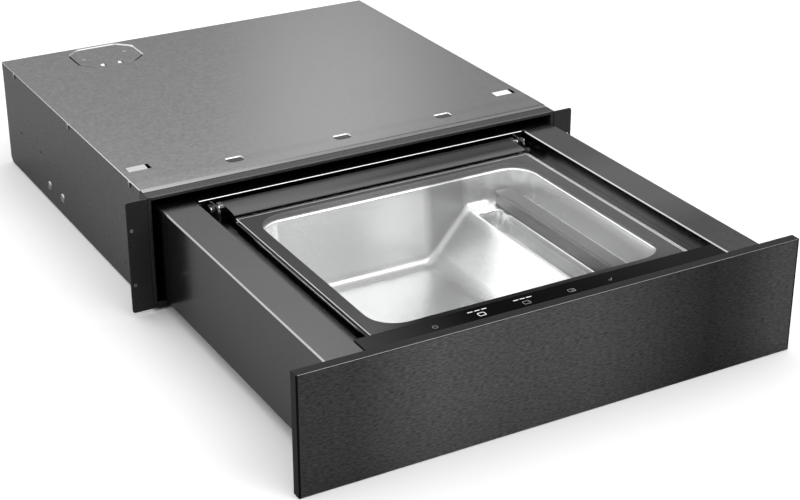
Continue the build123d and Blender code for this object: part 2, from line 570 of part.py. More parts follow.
# ================================================================== chamber
def pressed_space(g):
    """Air space of the pressed tub, grown by g on every wall."""
    top = RIM_Z if g else RIM_Z + 0.5
    with BuildPart() as space:
        with BuildSketch(Plane.XY.offset(top)) as rim:
            with Locations((0, back((RIM_Y0 + RIM_Y1) / 2))):
                RectangleRounded(2 * (RIM_HALF + g), RIM_Y1 - RIM_Y0 + 2 * g, RIM_R + g)
        extrude(rim.sketch, amount=-(top - FLOOR_Z + g), taper=DRAFT)
        fillet(space.faces().sort_by(Axis.Z)[0].edges(), FLOOR_R + g)
        # pressed block at the right: ramp up to a ridge, channel, ledge
        with BuildSketch(face_at(RIM_Y0 - 20)) as prof:
            with BuildLine():
                Polyline((VALLEY_X, FLOOR_Z), (RIDGE_X, SHELF_Z), (210, SHELF_Z), (210, FLOOR_Z - 8), (VALLEY_X - 8, FLOOR_Z - 8), (VALLEY_X - 8, FLOOR_Z), close=True)
            make_face()
            if g:
                offset(amount=-g, kind=Kind.INTERSECTION)
                with Locations((VALLEY_X + 30, FLOOR_Z - g - 10)):
                    Rectangle(300, 20, mode=Mode.SUBTRACT)
            fillet(prof.vertices().filter_by(lambda v: v.X < RIDGE_X + 8 and v.Z > SHELF_Z - 6 and v.X > 80), RIDGE_R + g)
        extrude(prof.sketch, amount=-(RIM_Y1 - RIM_Y0 + 40), mode=Mode.SUBTRACT)
        # the channel, closed towards the rear and front walls
        with BuildSketch(Plane.XY.offset(SHELF_Z)) as mouth:
            with Locations(((RIDGE_X + SHELF_X) / 2 + 1.5, back((TRENCH_Y0 + TRENCH_Y1) / 2))):
                RectangleRounded(SHELF_X - RIDGE_X - 3 + 2 * g, TRENCH_Y1 - TRENCH_Y0 + 2 * g, 9 + g)
        extrude(mouth.sketch, amount=-(SHELF_Z - TRENCH_Z + g), taper=14)
        # round housings of the lift cylinders stand into the channel
        for pd in PISTON_Y:
            disc_z(BAR_XC, pd, BOSS_R - g, 30, SHELF_Z - g, mode=Mode.SUBTRACT)
    return space.part


outer_space = pressed_space(CH_T)
inner_space = pressed_space(0)
with BuildPart() as chamber:
    round_xy(-RIM_HALF - 13, RIM_HALF + 13, RIM_Y0 - 12, RIM_Y1 + 12, RIM_R + 8, DECK_Z, RIM_Z)
    add(outer_space)
    add(inner_space, mode=Mode.SUBTRACT)
    for pd in PISTON_Y:
        disc_z(BAR_XC, pd, 5.3, 60, 90, mode=Mode.SUBTRACT)
    disc_z(PORT_X, PORT_Y, 4.2, 60, 90, mode=Mode.SUBTRACT)
save(chamber, "chamber")

# lid seal on the rim
with BuildPart() as chamber_gasket:
    round_xy(-183.5, 183.5, 52.5, 357.5, 38, RIM_Z, GLASS_Z0 - 0.3)
    round_xy(-177.5, 177.5, 58.5, 351.5, 33, RIM_Z - 1, GLASS_Z0 + 1, mode=Mode.SUBTRACT)
save(chamber_gasket, "chamber_gasket")

# sealing bar with its heating band, standing on two lift pistons
with BuildPart() as sealing_bar:
    slab(BAR_X0, BAR_X1, BAR_Y0, BAR_Y1, BAR_Z0, BAR_Z1)
    chamfer(sealing_bar.edges().filter_by(Axis.Y).group_by(Axis.Z)[-1], 0.5)
    fillet(sealing_bar.edges().filter_by(Axis.Z), 2.0)
save(sealing_bar, "sealing_bar")

with BuildPart() as heating_band:
    slab(BAR_X0 + 2, BAR_X1 - 2, BAR_Y0 + 3, BAR_Y1 - 3, BAR_Z1, BAR_Z1 + BAND_T)
save(heating_band, "heating_band")

with BuildPart() as bar_pistons:
    for pd in PISTON_Y:
        disc_z(BAR_XC, pd, PISTON_R, 44, BAR_Z0)
save(bar_pistons, "bar_pistons")

with BuildPart() as bar_cylinders:
    for pd in PISTON_Y:
        disc_z(BAR_XC, pd, 13.0, 38, SHELF_Z - CH_T)
        disc_z(BAR_XC, pd, 5.0, 41, 90, mode=Mode.SUBTRACT)
save(bar_cylinders, "bar_cylinders")

# ====================================================================== lid
with BuildPart() as lid_glass:
    slab(-LID_HALF, LID_HALF, LID_Y0, LID_Y1, GLASS_Z0, GLASS_Z1)
    fillet(lid_glass.edges().filter_by(Axis.Z), 3.0)
    chamfer(lid_glass.edges().group_by(Axis.Z)[-1], 0.6)
save(lid_glass, "lid_glass")

# hinge rail along the rear of the glass, with solid ends for the pins
with BuildPart() as lid_rear_rail:
    prism_x([(366.6, 117.5), (366.6, 124.6), (368.4, 125.9), (383, 126.9), (403.2, 127.1), (404, 126.3), (404, 118.8), (399.5, 115.5), (358.9, 115.5), (358.9, 117.5)], -190.6, 190.6)
    prism_x([(368.0, 117.5), (368.0, 123.9), (369.2, 124.6), (383.2, 125.5), (402.5, 125.7), (402.5, 119.4), (399.0, 117.0), (368.0, 117.0)], -176, 176, mode=Mode.SUBTRACT)
    for s in (-1, 1):
        xa, xb = s * 190.6, s * 195.5
        prism_x([(391, 119.5), (391, 125.2), (392.5, 126.2), (403.2, 127.1), (404, 126.3), (404, 121.2), (400.5, 119.5)], min(xa, xb), max(xa, xb))
        xa, xb = s * 177.9, s * 197
        disc_x(HINGE_Y, HINGE_Z, PIN_R, min(xa, xb), max(xa, xb), mode=Mode.SUBTRACT)
save(lid_rear_rail, "lid_rear_rail")

with BuildPart() as hinge_pins:
    for s in (-1, 1):
        xa, xb = s * 178, s * 206.5
        disc_x(HINGE_Y, HINGE_Z, PIN_R, min(xa, xb), max(xa, xb))
save(hinge_pins, "hinge_pins")

# hinge brackets: upright plates with a rounded front corner and a screwed foot
with BuildPart() as hinge_brackets:
    with BuildSketch(Plane.YZ.offset(-BRACKET_X1)) as ear:
        with BuildLine():
            Polyline((back(383.2), DECK_Z), (back(383.2), 128), (back(408.5), 128), (back(408.5), DECK_Z), close=True)
        make_face()
        fillet(ear.vertices().group_by(Axis.Y)[-1].sort_by(Axis.X)[0], 7.0)
    extrude(ear.sketch, amount=BRACKET_X1 - BRACKET_X0)
    slab(-213, -BRACKET_X1, 383.2, 408.5, DECK_Z, DECK_Z + 2)
    disc_x(HINGE_Y, HINGE_Z, 4.2, -203, -198, mode=Mode.SUBTRACT)
    for hd in (388.5, 403.5):
        disc_z(-209, hd, 1.8, 110, 115, mode=Mode.SUBTRACT)
    mirror(hinge_brackets.part, about=Plane.YZ)
save(hinge_brackets, "hinge_brackets")

with BuildPart() as hinge_bushes:
    for s in (-1, 1):
        xa, xb = s * BRACKET_X0, s * BRACKET_X1
        disc_x(HINGE_Y, HINGE_Z, 4.2, min(xa, xb), max(xa, xb))
        xa, xb = s * 197.8, s * BRACKET_X0
        disc_x(HINGE_Y, HINGE_Z, 4.4, min(xa, xb), max(xa, xb))
        disc_x(HINGE_Y, HINGE_Z, PIN_R + 0.05, min(s * 196, s * 204), max(s * 196, s * 204), mode=Mode.SUBTRACT)
save(hinge_bushes, "hinge_bushes")

# soft-close dampers on the outer pin ends
with BuildPart() as hinge_dampers:
    for s in (-1, 1):
        xa, xb = s * BRACKET_X1, s * 205.0
        disc_x(HINGE_Y, HINGE_Z, 4.4, min(xa, xb), max(xa, xb))
        slab(min(xa, xb), max(xa, xb), 398.0, 406.0, 121.5, 125.5)
        disc_x(HINGE_Y, HINGE_Z, PIN_R + 0.05, min(s * 200, s * 206.8), max(s * 200, s * 206.8), mode=Mode.SUBTRACT)
save(hinge_dampers, "hinge_dampers")

with BuildPart() as hinge_screws:
    for s in (-1, 1):
        for hd in (388.5, 403.5):
            disc_z(s * 209, hd, 1.7, DECK_Z, DECK_Z + 2)
            disc_z(s * 209, hd, 3.0, DECK_Z + 2, DECK_Z + 3.6)
save(hinge_screws, "hinge_screws")

# ========================================================= rear compartment
PUMP_Y, PUMP_Z = 424.0, 64.0
with BuildPart() as vacuum_pump:
    disc_x(PUMP_Y, PUMP_Z, 36, -62, 4)
    disc_x(PUMP_Y, PUMP_Z, 40, -66, -56)
    disc_x(PUMP_Y, PUMP_Z, 40, -4, 4)
    for rz in range(5):
        disc_x(PUMP_Y, PUMP_Z, 39, -50 + rz * 10, -46 + rz * 10)
    slab(-60, 0, PUMP_Y - 30, PUMP_Y + 30, 24, PUMP_Z - 20)
    slab(-48, -20, PUMP_Y - 14, PUMP_Y + 14, PUMP_Z + 30, 104)
    disc_y(-34, 96, 5.0, PUMP_Y - 26, PUMP_Y - 10)
save(vacuum_pump, "vacuum_pump")

with BuildPart() as pump_motor:
    disc_x(PUMP_Y, PUMP_Z, 38, 4, 82)
    for k in range(16):
        a = math.radians(k * 22.5)
        cy, cz = PUMP_Y + 38 * math.cos(a), PUMP_Z + 38 * math.sin(a)
        slab(8, 78, cy - 1.5, cy + 1.5, cz - 1.5, cz + 1.5)
    slab(14, 72, PUMP_Y - 26, PUMP_Y + 26, 24, PUMP_Z - 20)
    # open fan shroud
    disc_x(PUMP_Y, PUMP_Z, 40, 82, 104)
    disc_x(PUMP_Y, PUMP_Z, 38.4, 83.5, 105, mode=Mode.SUBTRACT)
    disc_x(PUMP_Y, PUMP_Z, 4.0, 70, 96)
save(pump_motor, "pump_motor")

with BuildPart() as pump_fan:
    disc_x(PUMP_Y, PUMP_Z, 9.0, 87, 99)
    for k in range(7):
        with BuildSketch(Plane(origin=(93, back(PUMP_Y), PUMP_Z), x_dir=(1, 0, 0), z_dir=(0, math.cos(k * 2 * math.pi / 7), math.sin(k * 2 * math.pi / 7)))) as blade:
            with Locations((0, 0)):
                Rectangle(13, 1.6, rotation=32)
        extrude(blade.sketch, amount=35)
    disc_x(PUMP_Y, PUMP_Z, 4.06, 80, 110, mode=Mode.SUBTRACT)
save(pump_fan, "pump_fan")

with BuildPart() as pump_feet:
    slab(-66, 80, PUMP_Y - 36, PUMP_Y + 36, 22, 24)
    for px in (-56, 70):
        for pd in (PUMP_Y - 28, PUMP_Y + 28):
            disc_z(px, pd, 8, TRAY_Z0 + SHEET, 22)
save(pump_feet, "pump_feet")

# three solenoid valves on a common block
with BuildPart() as valve_block:
    slab(-158, -86, 392, 424, TRAY_Z0 + SHEET, 40)
    for vx in (-146, -122, -98):
        disc_z(vx, 408, 9.5, 40, 44)
        slab(vx - 10, vx + 10, 396, 420, 44, 72)
        disc_z(vx, 408, 5, 72, 78)
    disc_y(-122, 28, 5.0, 380, 392)
    disc_x(408, 28, 5.0, -86, -76)
save(valve_block, "valve_block")

# suction hose from the port in the chamber's ledge to the valve block
HOSE_R = 5.0
with BuildPart() as vacuum_hose:
    with BuildLine() as hose_path:
        FilletPolyline(
            (PORT_X, back(PORT_Y), SHELF_Z - CH_T), (PORT_X, back(PORT_Y), 44), (PORT_X, back(365.5), 44), (PORT_X, back(365.5), 28), (-122, back(365.5), 28), (-122, back(380), 28),
            radius=[14, 7.5, 7.5, 8],
        )
    with BuildSketch(Plane(origin=(PORT_X, back(PORT_Y), SHELF_Z - CH_T), z_dir=(0, 0, -1))) as hose_section:
        Circle(HOSE_R)
        Circle(HOSE_R - 1.6, mode=Mode.SUBTRACT)
    sweep()
save(vacuum_hose, "vacuum_hose")

with BuildPart() as transformer:
    slab(128, 204, 388, 442, TRAY_Z0 + SHEET, 66)
    slab(138, 194, 376, 454, 24, 58)
    for tx in (134, 198):
        for td in (392, 438):
            disc_z(tx, td, 3.5, 66, 68.5)
    fillet(transformer.edges().filter_by(Axis.X).group_by(Axis.Y)[0], 4)
    fillet(transformer.edges().filter_by(Axis.X).group_by(Axis.Y)[-1], 4)
save(transformer, "transformer")

with BuildPart() as power_board:
    slab(-211, -168, 372, 484, 22, 23.6)
    for pd in (378, 478):
        for px in (-206, -173):
            disc_z(px, pd, 3, TRAY_Z0 + SHEET, 22)
    slab(-206, -186, 390, 410, 23.6, 40)
    slab(-206, -186, 414, 434, 23.6, 40)
    disc_z(-179, 398, 7, 23.6, 46)
    disc_z(-179, 416, 7, 23.6, 46)
    slab(-200, -176, 446, 470, 23.6, 34)
save(power_board, "power_board")
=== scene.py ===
import math

import bmesh
import bpy
import numpy as np
from mathutils import Matrix, Vector


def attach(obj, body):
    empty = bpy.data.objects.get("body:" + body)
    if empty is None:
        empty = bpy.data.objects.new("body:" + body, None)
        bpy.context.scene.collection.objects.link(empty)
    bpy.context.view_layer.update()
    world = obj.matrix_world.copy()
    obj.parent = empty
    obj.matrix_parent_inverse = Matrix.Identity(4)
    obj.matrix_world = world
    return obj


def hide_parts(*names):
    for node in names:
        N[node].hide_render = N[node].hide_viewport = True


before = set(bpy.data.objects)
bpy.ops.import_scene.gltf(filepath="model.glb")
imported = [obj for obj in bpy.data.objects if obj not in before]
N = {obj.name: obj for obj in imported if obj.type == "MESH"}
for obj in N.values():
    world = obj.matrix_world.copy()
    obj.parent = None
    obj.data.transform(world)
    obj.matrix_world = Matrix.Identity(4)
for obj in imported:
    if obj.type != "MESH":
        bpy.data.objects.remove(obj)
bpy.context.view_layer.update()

MM = 0.001
OPEN_DEPTH = 930.0


def back(d):
    """Y in metres of a point that lies d millimetres behind the front face."""
    return (d - OPEN_DEPTH / 2) * MM


# ------------------------------------------------------------------ helpers
def lin(h):
    """Linear colour of a hex grey or colour."""
    h = h.lstrip("#")
    v = [int(h[i:i + 2], 16) / 255 for i in (0, 2, 4)]
    return tuple(c / 12.92 if c <= 0.04045 else ((c + 0.055) / 1.055) ** 2.4 for c in v)


class Mat:
    """A small builder of node materials."""

    def __init__(self, name):
        self.m = bpy.data.materials.new(name)
        self.m.use_nodes = True
        self.nt = self.m.node_tree
        self.bsdf = self.nt.nodes["Principled BSDF"]
        self.out = self.nt.nodes["Material Output"]
        self._obj = None

    def new(self, kind, **props):
        n = self.nt.nodes.new(kind)
        for k, v in props.items():
            setattr(n, k, v)
        return n

    def link(self, a, b):
        self.nt.links.new(a, b)

    def set(self, **kw):
        names = {"color": "Base Color", "metal": "Metallic", "rough": "Roughness", "ior": "IOR", "spec": "Specular IOR Level", "coat": "Coat Weight", "coat_rough": "Coat Roughness",
                 "trans": "Transmission Weight", "alpha": "Alpha", "sheen": "Sheen Weight", "emit": "Emission Strength", "emit_color": "Emission Color", "aniso": "Anisotropic"}
        for k, v in kw.items():
            s = self.bsdf.inputs[names[k]]
            s.default_value = (*v, 1) if isinstance(v, tuple) and len(v) == 3 else v
        return self

    def place(self, scale=(1, 1, 1), rot=(0, 0, 0), loc=(0, 0, 0)):
        """Object coordinates (metres in the shared frame) times a scale."""
        tc = self.new("ShaderNodeTexCoord")
        mp = self.new("ShaderNodeMapping")
        mp.inputs["Scale"].default_value = scale
        mp.inputs["Rotation"].default_value = rot
        mp.inputs["Location"].default_value = loc
        self.link(tc.outputs["Object"], mp.inputs["Vector"])
        return mp.outputs["Vector"]

    def noise(self, scale=(1, 1, 1), freq=1.0, detail=2.0, rough=0.5, rot=(0, 0, 0), loc=(0, 0, 0), distortion=0.0):
        n = self.new("ShaderNodeTexNoise")
        n.inputs["Scale"].default_value = freq
        n.inputs["Detail"].default_value = detail
        n.inputs["Roughness"].default_value = rough
        n.inputs["Distortion"].default_value = distortion
        self.link(self.place(scale, rot, loc), n.inputs["Vector"])
        return n.outputs["Fac"]

    def cells(self, scale=(1, 1, 1), freq=1.0, feature="F1", randomness=1.0, output="Color"):
        n = self.new("ShaderNodeTexVoronoi", feature=feature)
        n.inputs["Scale"].default_value = freq
        n.inputs["Randomness"].default_value = randomness
        self.link(self.place(scale), n.inputs["Vector"])
        return n.outputs[output]

    def grey(self, socket):
        n = self.new("ShaderNodeRGBToBW")
        self.link(socket, n.inputs["Color"])
        return n.outputs["Val"]

    def axis(self, which, scale=1.0):
        n = self.new("ShaderNodeSeparateXYZ")
        self.link(self.place((scale, scale, scale)), n.inputs["Vector"])
        return n.outputs[which]

    def ramp(self, socket, stops, interp="LINEAR"):
        n = self.new("ShaderNodeValToRGB")
        n.color_ramp.interpolation = interp
        els = n.color_ramp.elements
        while len(els) > 2:
            els.remove(els[-1])
        for i, (pos, col) in enumerate(stops):
            e = els[i] if i < 2 else els.new(pos)
            e.position = pos
            e.color = (*col, 1) if isinstance(col, tuple) else (col, col, col, 1)
        self.link(socket, n.inputs["Fac"])
        return n.outputs["Color"]

    def span(self, socket, a, b, c, d, clamp=True):
        n = self.new("ShaderNodeMapRange")
        n.clamp = clamp
        n.inputs["From Min"].default_value, n.inputs["From Max"].default_value = a, b
        n.inputs["To Min"].default_value, n.inputs["To Max"].default_value = c, d
        self.link(socket, n.inputs["Value"])
        return n.outputs["Result"]

    def math(self, op, a, b):
        n = self.new("ShaderNodeMath", operation=op)
        for i, v in enumerate((a, b)):
            if isinstance(v, (int, float)):
                n.inputs[i].default_value = v
            else:
                self.link(v, n.inputs[i])
        return n.outputs[0]

    def mix(self, fac, a, b, blend="MIX"):
        n = self.new("ShaderNodeMix", data_type="RGBA", blend_type=blend)
        for i, v in ((0, fac), (6, a), (7, b)):
            if isinstance(v, (int, float)):
                n.inputs[i].default_value = v
            elif isinstance(v, tuple):
                n.inputs[i].default_value = (*v, 1)
            else:
                self.link(v, n.inputs[i])
        return n.outputs[2]

    def slant(self, lo=0.35, hi=0.5):
        """One on faces that are turned both sideways (X) and up, by the piece's own normal."""
        tc = self.new("ShaderNodeTexCoord")
        n = self.new("ShaderNodeSeparateXYZ")
        self.link(tc.outputs["Normal"], n.inputs["Vector"])
        sx = self.span(self.math("ABSOLUTE", n.outputs["X"], 0.0), lo, hi, 0.0, 1.0)
        sz = self.span(n.outputs["Z"], lo, hi, 0.0, 1.0)
        return self.math("MULTIPLY", sx, sz)

    def box(self, x=None, y=None, z=None, soft=0.0001):
        """One inside a range of object coordinates in metres."""
        xyz = self.new("ShaderNodeSeparateXYZ")
        self.link(self.place(), xyz.inputs["Vector"])
        out = None
        for key, r in (("X", x), ("Y", y), ("Z", z)):
            if r is None:
                continue
            a = self.span(xyz.outputs[key], r[0] - soft, r[0], 0.0, 1.0)
            b = self.span(xyz.outputs[key], r[1], r[1] + soft, 1.0, 0.0)
            m = self.math("MULTIPLY", a, b)
            out = m if out is None else self.math("MULTIPLY", out, m)
        return out

    def color(self, socket):
        self.link(socket, self.bsdf.inputs["Base Color"])
        return self

    def roughness(self, socket):
        self.link(socket, self.bsdf.inputs["Roughness"])
        return self

    def bump(self, socket, height_mm, strength=1.0):
        n = self.new("ShaderNodeBump")
        n.inputs["Strength"].default_value = strength
        n.inputs["Distance"].default_value = height_mm * MM
        self.link(socket, n.inputs["Height"])
        prev = self.bsdf.inputs["Normal"]
        if prev.is_linked:
            self.link(prev.links[0].from_socket, n.inputs["Normal"])
        self.link(n.outputs["Normal"], self.bsdf.inputs["Normal"])
        return self


def scale3(c, k):
    return tuple(min(1.0, v * k) for v in c)


# ---------------------------------------------------------------- materials
def galvanised(name, base, spangle=0.10, metal=0.9, rough=(0.28, 0.40), freq=260.0, cloud=0.02, painted_light=None, tooth=1.0):
    m = Mat(name).set(metal=metal)
    cell = m.grey(m.cells(freq=freq))
    cell2 = m.grey(m.cells(freq=freq * 2.7))
    blot = m.noise(freq=9.0, detail=4.0, rough=0.6)
    fine = m.noise(freq=1300.0, detail=2.0)
    c = m.ramp(cell, [(0.15, scale3(base, 1 - spangle)), (0.85, scale3(base, 1 + spangle))])
    c = m.mix(0.35, c, m.ramp(cell2, [(0.2, scale3(base, 1 - spangle)), (0.8, scale3(base, 1 + spangle))]))
    c = m.mix(m.span(blot, 0.3, 0.7, 0.0, 1.0), c, m.mix(1.0, c, (1 - cloud,) * 3, "MULTIPLY"))
    c = m.mix(m.span(fine, 0.35, 0.75, 0.0, 0.10 * tooth), c, scale3(base, 0.6))
    # painted light and shade, if given
    if painted_light:
        c = painted_light(m, c)
    m.color(c)
    m.roughness(m.span(cell, 0.1, 0.9, rough[0], rough[1]))
    m.bump(fine, 0.003, 0.4 * tooth)
    m.bump(cell2, 0.002, 0.3 * tooth)
    return m.m


def paint(name, base, rough=0.42, metal=0.0, peel=0.012, wear=0.0, spec=0.5, mottle=0.06, freq=420.0, coat=0.0, painted_light=None):
    """Sprayed satin paint: orange peel, slight mottle, finest dust."""
    m = Mat(name).set(metal=metal, spec=spec)
    if coat:
        m.set(coat=coat, coat_rough=0.25)
    peel_n = m.noise(freq=freq, detail=3.0, rough=0.55)
    cloud = m.noise(freq=14.0, detail=3.0)
    speck = m.noise(freq=1500.0, detail=1.0)
    c = m.ramp(cloud, [(0.3, scale3(base, 1 - mottle)), (0.7, scale3(base, 1 + mottle))])
    c = m.mix(m.span(speck, 0.35, 0.70, 0.0, 0.10), c, scale3(base, 1.35))
    # painted light and shade, if given
    if painted_light:
        c = painted_light(m, c)
    m.color(c)
    m.roughness(m.span(peel_n, 0.3, 0.7, rough - 0.05, rough + 0.07))
    m.bump(peel_n, peel, 0.5)
    return m.m


def brushed(name, base, along=(1, 0, 0), rough=(0.26, 0.42), metal=1.0, contrast=0.18, length=14.0, width=0.5, grain2=0.6, bump=0.006, patches=0.07):
    """Grain of short strokes along one axis."""
    m = Mat(name).set(metal=metal)
    sc = tuple((1000.0 / length) if a else (1000.0 / width) for a in along)
    sc2 = tuple((1000.0 / (length * 3.1)) if a else (1000.0 / (width * 0.45)) for a in along)
    a = m.noise(scale=sc, detail=3.0, rough=0.6)
    b = m.noise(scale=sc2, detail=2.0, rough=0.6)
    cloud = m.noise(freq=5.0, detail=3.0)
    g = m.math("ADD", m.math("MULTIPLY", a, 1 - grain2 * 0.5), m.math("MULTIPLY", b, grain2 * 0.5))
    c = m.ramp(g, [(0.32, scale3(base, 1 - contrast)), (0.68, scale3(base, 1 + contrast))])
    c = m.mix(m.span(cloud, 0.35, 0.65, 0.0, 1.0), c, m.mix(1.0, c, (1 - patches,) * 3, "MULTIPLY"))
    m.color(c)
    m.roughness(m.span(g, 0.35, 0.65, rough[0], rough[1]))
    m.bump(g, bump, 0.6)
    return m.m


def rubber(name, base=(0.012, 0.012, 0.013), rough=0.7):
    m = Mat(name).set(spec=0.35)
    a = m.noise(freq=900.0, detail=3.0)
    b = m.noise(freq=30.0, detail=2.0)
    m.color(m.ramp(b, [(0.3, scale3(base, 0.8)), (0.7, scale3(base, 1.35))]))
    m.roughness(m.span(a, 0.3, 0.7, rough - 0.08, rough + 0.1))
    m.bump(a, 0.02, 0.5)
    return m.m


def moulded(name, base, rough=0.48, texture=0.02, freq=700.0):
    """Spark-eroded moulded plastic."""
    m = Mat(name).set(spec=0.45)
    a = m.noise(freq=freq, detail=4.0, rough=0.7)
    b = m.noise(freq=22.0, detail=2.0)
    m.color(m.ramp(b, [(0.3, scale3(base, 0.9)), (0.7, scale3(base, 1.1))]))
    m.roughness(m.span(a, 0.3, 0.7, rough - 0.06, rough + 0.08))
    m.bump(a, texture, 0.5)
    return m.m


def turned(name, base, rough=0.28, metal=1.0):
    """Machined or plated metal with faint concentric and streaked marks."""
    m = Mat(name).set(metal=metal)
    a = m.noise(scale=(900, 900, 260), detail=3.0)
    b = m.noise(freq=60.0, detail=3.0)
    m.color(m.mix(m.span(b, 0.3, 0.7, 0.0, 1.0), scale3(base, 0.88), scale3(base, 1.08)))
    m.roughness(m.span(a, 0.3, 0.7, rough - 0.07, rough + 0.1))
    m.bump(a, 0.008, 0.4)
    return m.m


def board(name, base):
    """Solder-masked board with faint tracks."""
    m = Mat(name).set(spec=0.5)
    tr = m.new("ShaderNodeTexBrick")
    m.link(m.place((260, 260, 260)), tr.inputs["Vector"])
    tr.inputs["Color1"].default_value = (*scale3(base, 1.0), 1)
    tr.inputs["Color2"].default_value = (*scale3(base, 1.25), 1)
    tr.inputs["Mortar"].default_value = (*scale3(base, 1.9), 1)
    tr.inputs["Mortar Size"].default_value = 0.03
    a = m.noise(freq=500.0, detail=2.0)
    m.color(m.mix(m.span(a, 0.3, 0.7, 0.0, 0.4), tr.outputs["Color"], scale3(base, 0.7)))
    m.roughness(m.span(a, 0.3, 0.7, 0.28, 0.42))
    m.bump(tr.outputs["Fac"], 0.03, 0.3)
    return m.m


def cover_painted_light(m, c):
    """Painted highlights on the slanted cut edges and on the pressed tongues, painted shade on the dish floors, and a
    painted highlight on the front lip that fades towards the right.
    """
    # painted highlight on the slanted cut edges
    c = m.mix(m.slant(), c, (0.62, 0.62, 0.63))
    # painted highlights on the two pressed tongues in the slots, the right one also made non-metallic
    c = m.mix(m.box(x=(-0.2598, -0.2363), y=(0.0330, 0.0466), z=(0.139, 0.14205)), c, (0.60, 0.60, 0.61))
    right = m.box(x=(0.2332, 0.2567), y=(0.0330, 0.0466), z=(0.139, 0.14205))
    c = m.mix(right, c, (0.80, 0.80, 0.80))
    m.link(m.span(right, 0.0, 1.0, 1.0, 0.0), m.bsdf.inputs["Metallic"])
    tc = m.new("ShaderNodeTexCoord")
    n = m.new("ShaderNodeSeparateXYZ")
    m.link(tc.outputs["Normal"], n.inputs["Vector"])
    # painted shade on the dish floors
    dish = m.math("MULTIPLY", m.box(y=(0.0012, 0.0162), z=(0.138, 0.14192), soft=0.0003), m.span(n.outputs["Z"], 0.95, 0.985, 0.0, 1.0))
    c = m.mix(dish, c, (0.13, 0.13, 0.132))
    # painted highlight on the front lip, fading towards the right
    lip = m.box(y=(-0.0270, -0.0189), z=(0.1395, 0.1425))
    x = m.axis("X")
    light_and_shade = m.ramp(m.span(x, -0.27, 0.27, 0.0, 1.0), [(0.0, (0.38, 0.38, 0.385)), (0.35, (0.235, 0.235, 0.24)), (0.7, (0.185, 0.185, 0.19)), (1.0, (0.16, 0.16, 0.165))])
    return m.mix(lip, c, light_and_shade)


def plate_painted_light(m, c):
    """Painted shade on the cut edge of the plate, painted highlights on a dimple and on its hook tongues."""
    tc = m.new("ShaderNodeTexCoord")
    n = m.new("ShaderNodeSeparateXYZ")
    m.link(tc.outputs["Normal"], n.inputs["Vector"])
    # painted shade on the cut edge
    edge = m.span(n.outputs["Z"], 0.3, 0.6, 1.0, 0.0)
    c = m.mix(edge, c, (0.03, 0.03, 0.03))
    # painted highlight on a dimple
    c = m.mix(m.box(x=(-0.1742, -0.1670), y=(0.4160, 0.4236), z=(0.1409, 0.14130)), c, (0.50, 0.50, 0.505))
    # painted highlights on the hook tongues
    c = m.mix(m.box(x=(-0.1579, -0.1525), y=(0.3880, 0.3938), z=(0.138, 0.14155)), c, (0.72, 0.72, 0.73))
    return m.mix(m.box(x=(-0.1341, -0.1287), y=(0.3880, 0.3938), z=(0.138, 0.14155)), c, (0.72, 0.72, 0.73))


def side_painted_light(m, c):
    """Painted light and shade on the side sheets: brighter towards the front, darker towards the rear."""
    return m.mix(1.0, c, m.span(m.axis("Y"), -0.03, 0.44, 1.22, 0.84), "MULTIPLY")


def box_painted_light(m, c):
    """Painted highlights on the slanted folds, a painted reflection band along the middle of the right box, and painted
    light on the outer sides, stronger towards the front.
    """
    # painted reflection band on the right box
    c = m.mix(m.box(x=(0.20, 0.28), y=(-0.30, -0.21), soft=0.07), c, (0.230, 0.230, 0.233))
    # painted light on the outer sides, stronger towards the front
    outer = m.math("MULTIPLY", m.span(m.math("ABSOLUTE", m.axis("X"), 0.0), 0.25875, 0.25885, 0.0, 1.0), m.span(m.axis("Z"), 0.1275, 0.1285, 1.0, 0.0))
    gain = m.span(m.axis("Y"), -0.45, -0.10, 1.40, 1.12)
    c = m.mix(outer, c, m.mix(1.0, c, gain, "MULTIPLY"))
    # painted highlight on the slanted folds
    return m.mix(m.slant(), c, (0.30, 0.30, 0.305))


def deck_painted_light(m, c):
    """Painted light on the deck beside the boxes, and a painted highlight along the fold of the rear cover."""
    x = m.axis("X")
    # painted light on the deck beside the boxes
    beside = m.math("MULTIPLY", m.span(m.math("ABSOLUTE", x, 0.0), 0.196, 0.211, 0.0, 1.0), m.box(y=(-0.43, -0.08), z=(0.110, 0.1125)))
    c = m.mix(beside, c, (0.20, 0.20, 0.204))
    # painted highlight along the fold of the rear cover
    return m.mix(m.box(y=(-0.0552, -0.0545), z=(0.1293, 0.1300)), c, (0.75, 0.75, 0.76))


MT = {}
MT["galvanised_cover"] = galvanised("galvanised_cover", (0.405, 0.405, 0.41), spangle=0.045, rough=(0.17, 0.23), metal=1.0, painted_light=cover_painted_light)
MT["galvanised_side"] = galvanised("galvanised_side", (0.185, 0.185, 0.189), spangle=0.035, rough=(0.22, 0.28), metal=1.0, painted_light=side_painted_light, tooth=0.4)
MT["galvanised_hidden"] = galvanised("galvanised_hidden", (0.38, 0.38, 0.385), spangle=0.07, metal=1.0)
MT["access_plate"] = galvanised("access_plate", (0.41, 0.41, 0.415), spangle=0.045, rough=(0.17, 0.23), metal=1.0, painted_light=plate_painted_light)
MT["rivet_zinc"] = turned("rivet_zinc", (0.62, 0.62, 0.63), 0.30)
MT["screw_zinc"] = turned("screw_zinc", (0.60, 0.60, 0.61), 0.26)
MT["bracket_zinc"] = galvanised("bracket_zinc", (0.38, 0.38, 0.39), spangle=0.06, metal=1.0)
MT["runner_zinc"] = brushed("runner_zinc", (0.52, 0.52, 0.53), along=(0, 1, 0), rough=(0.24, 0.34), contrast=0.1, length=60.0)
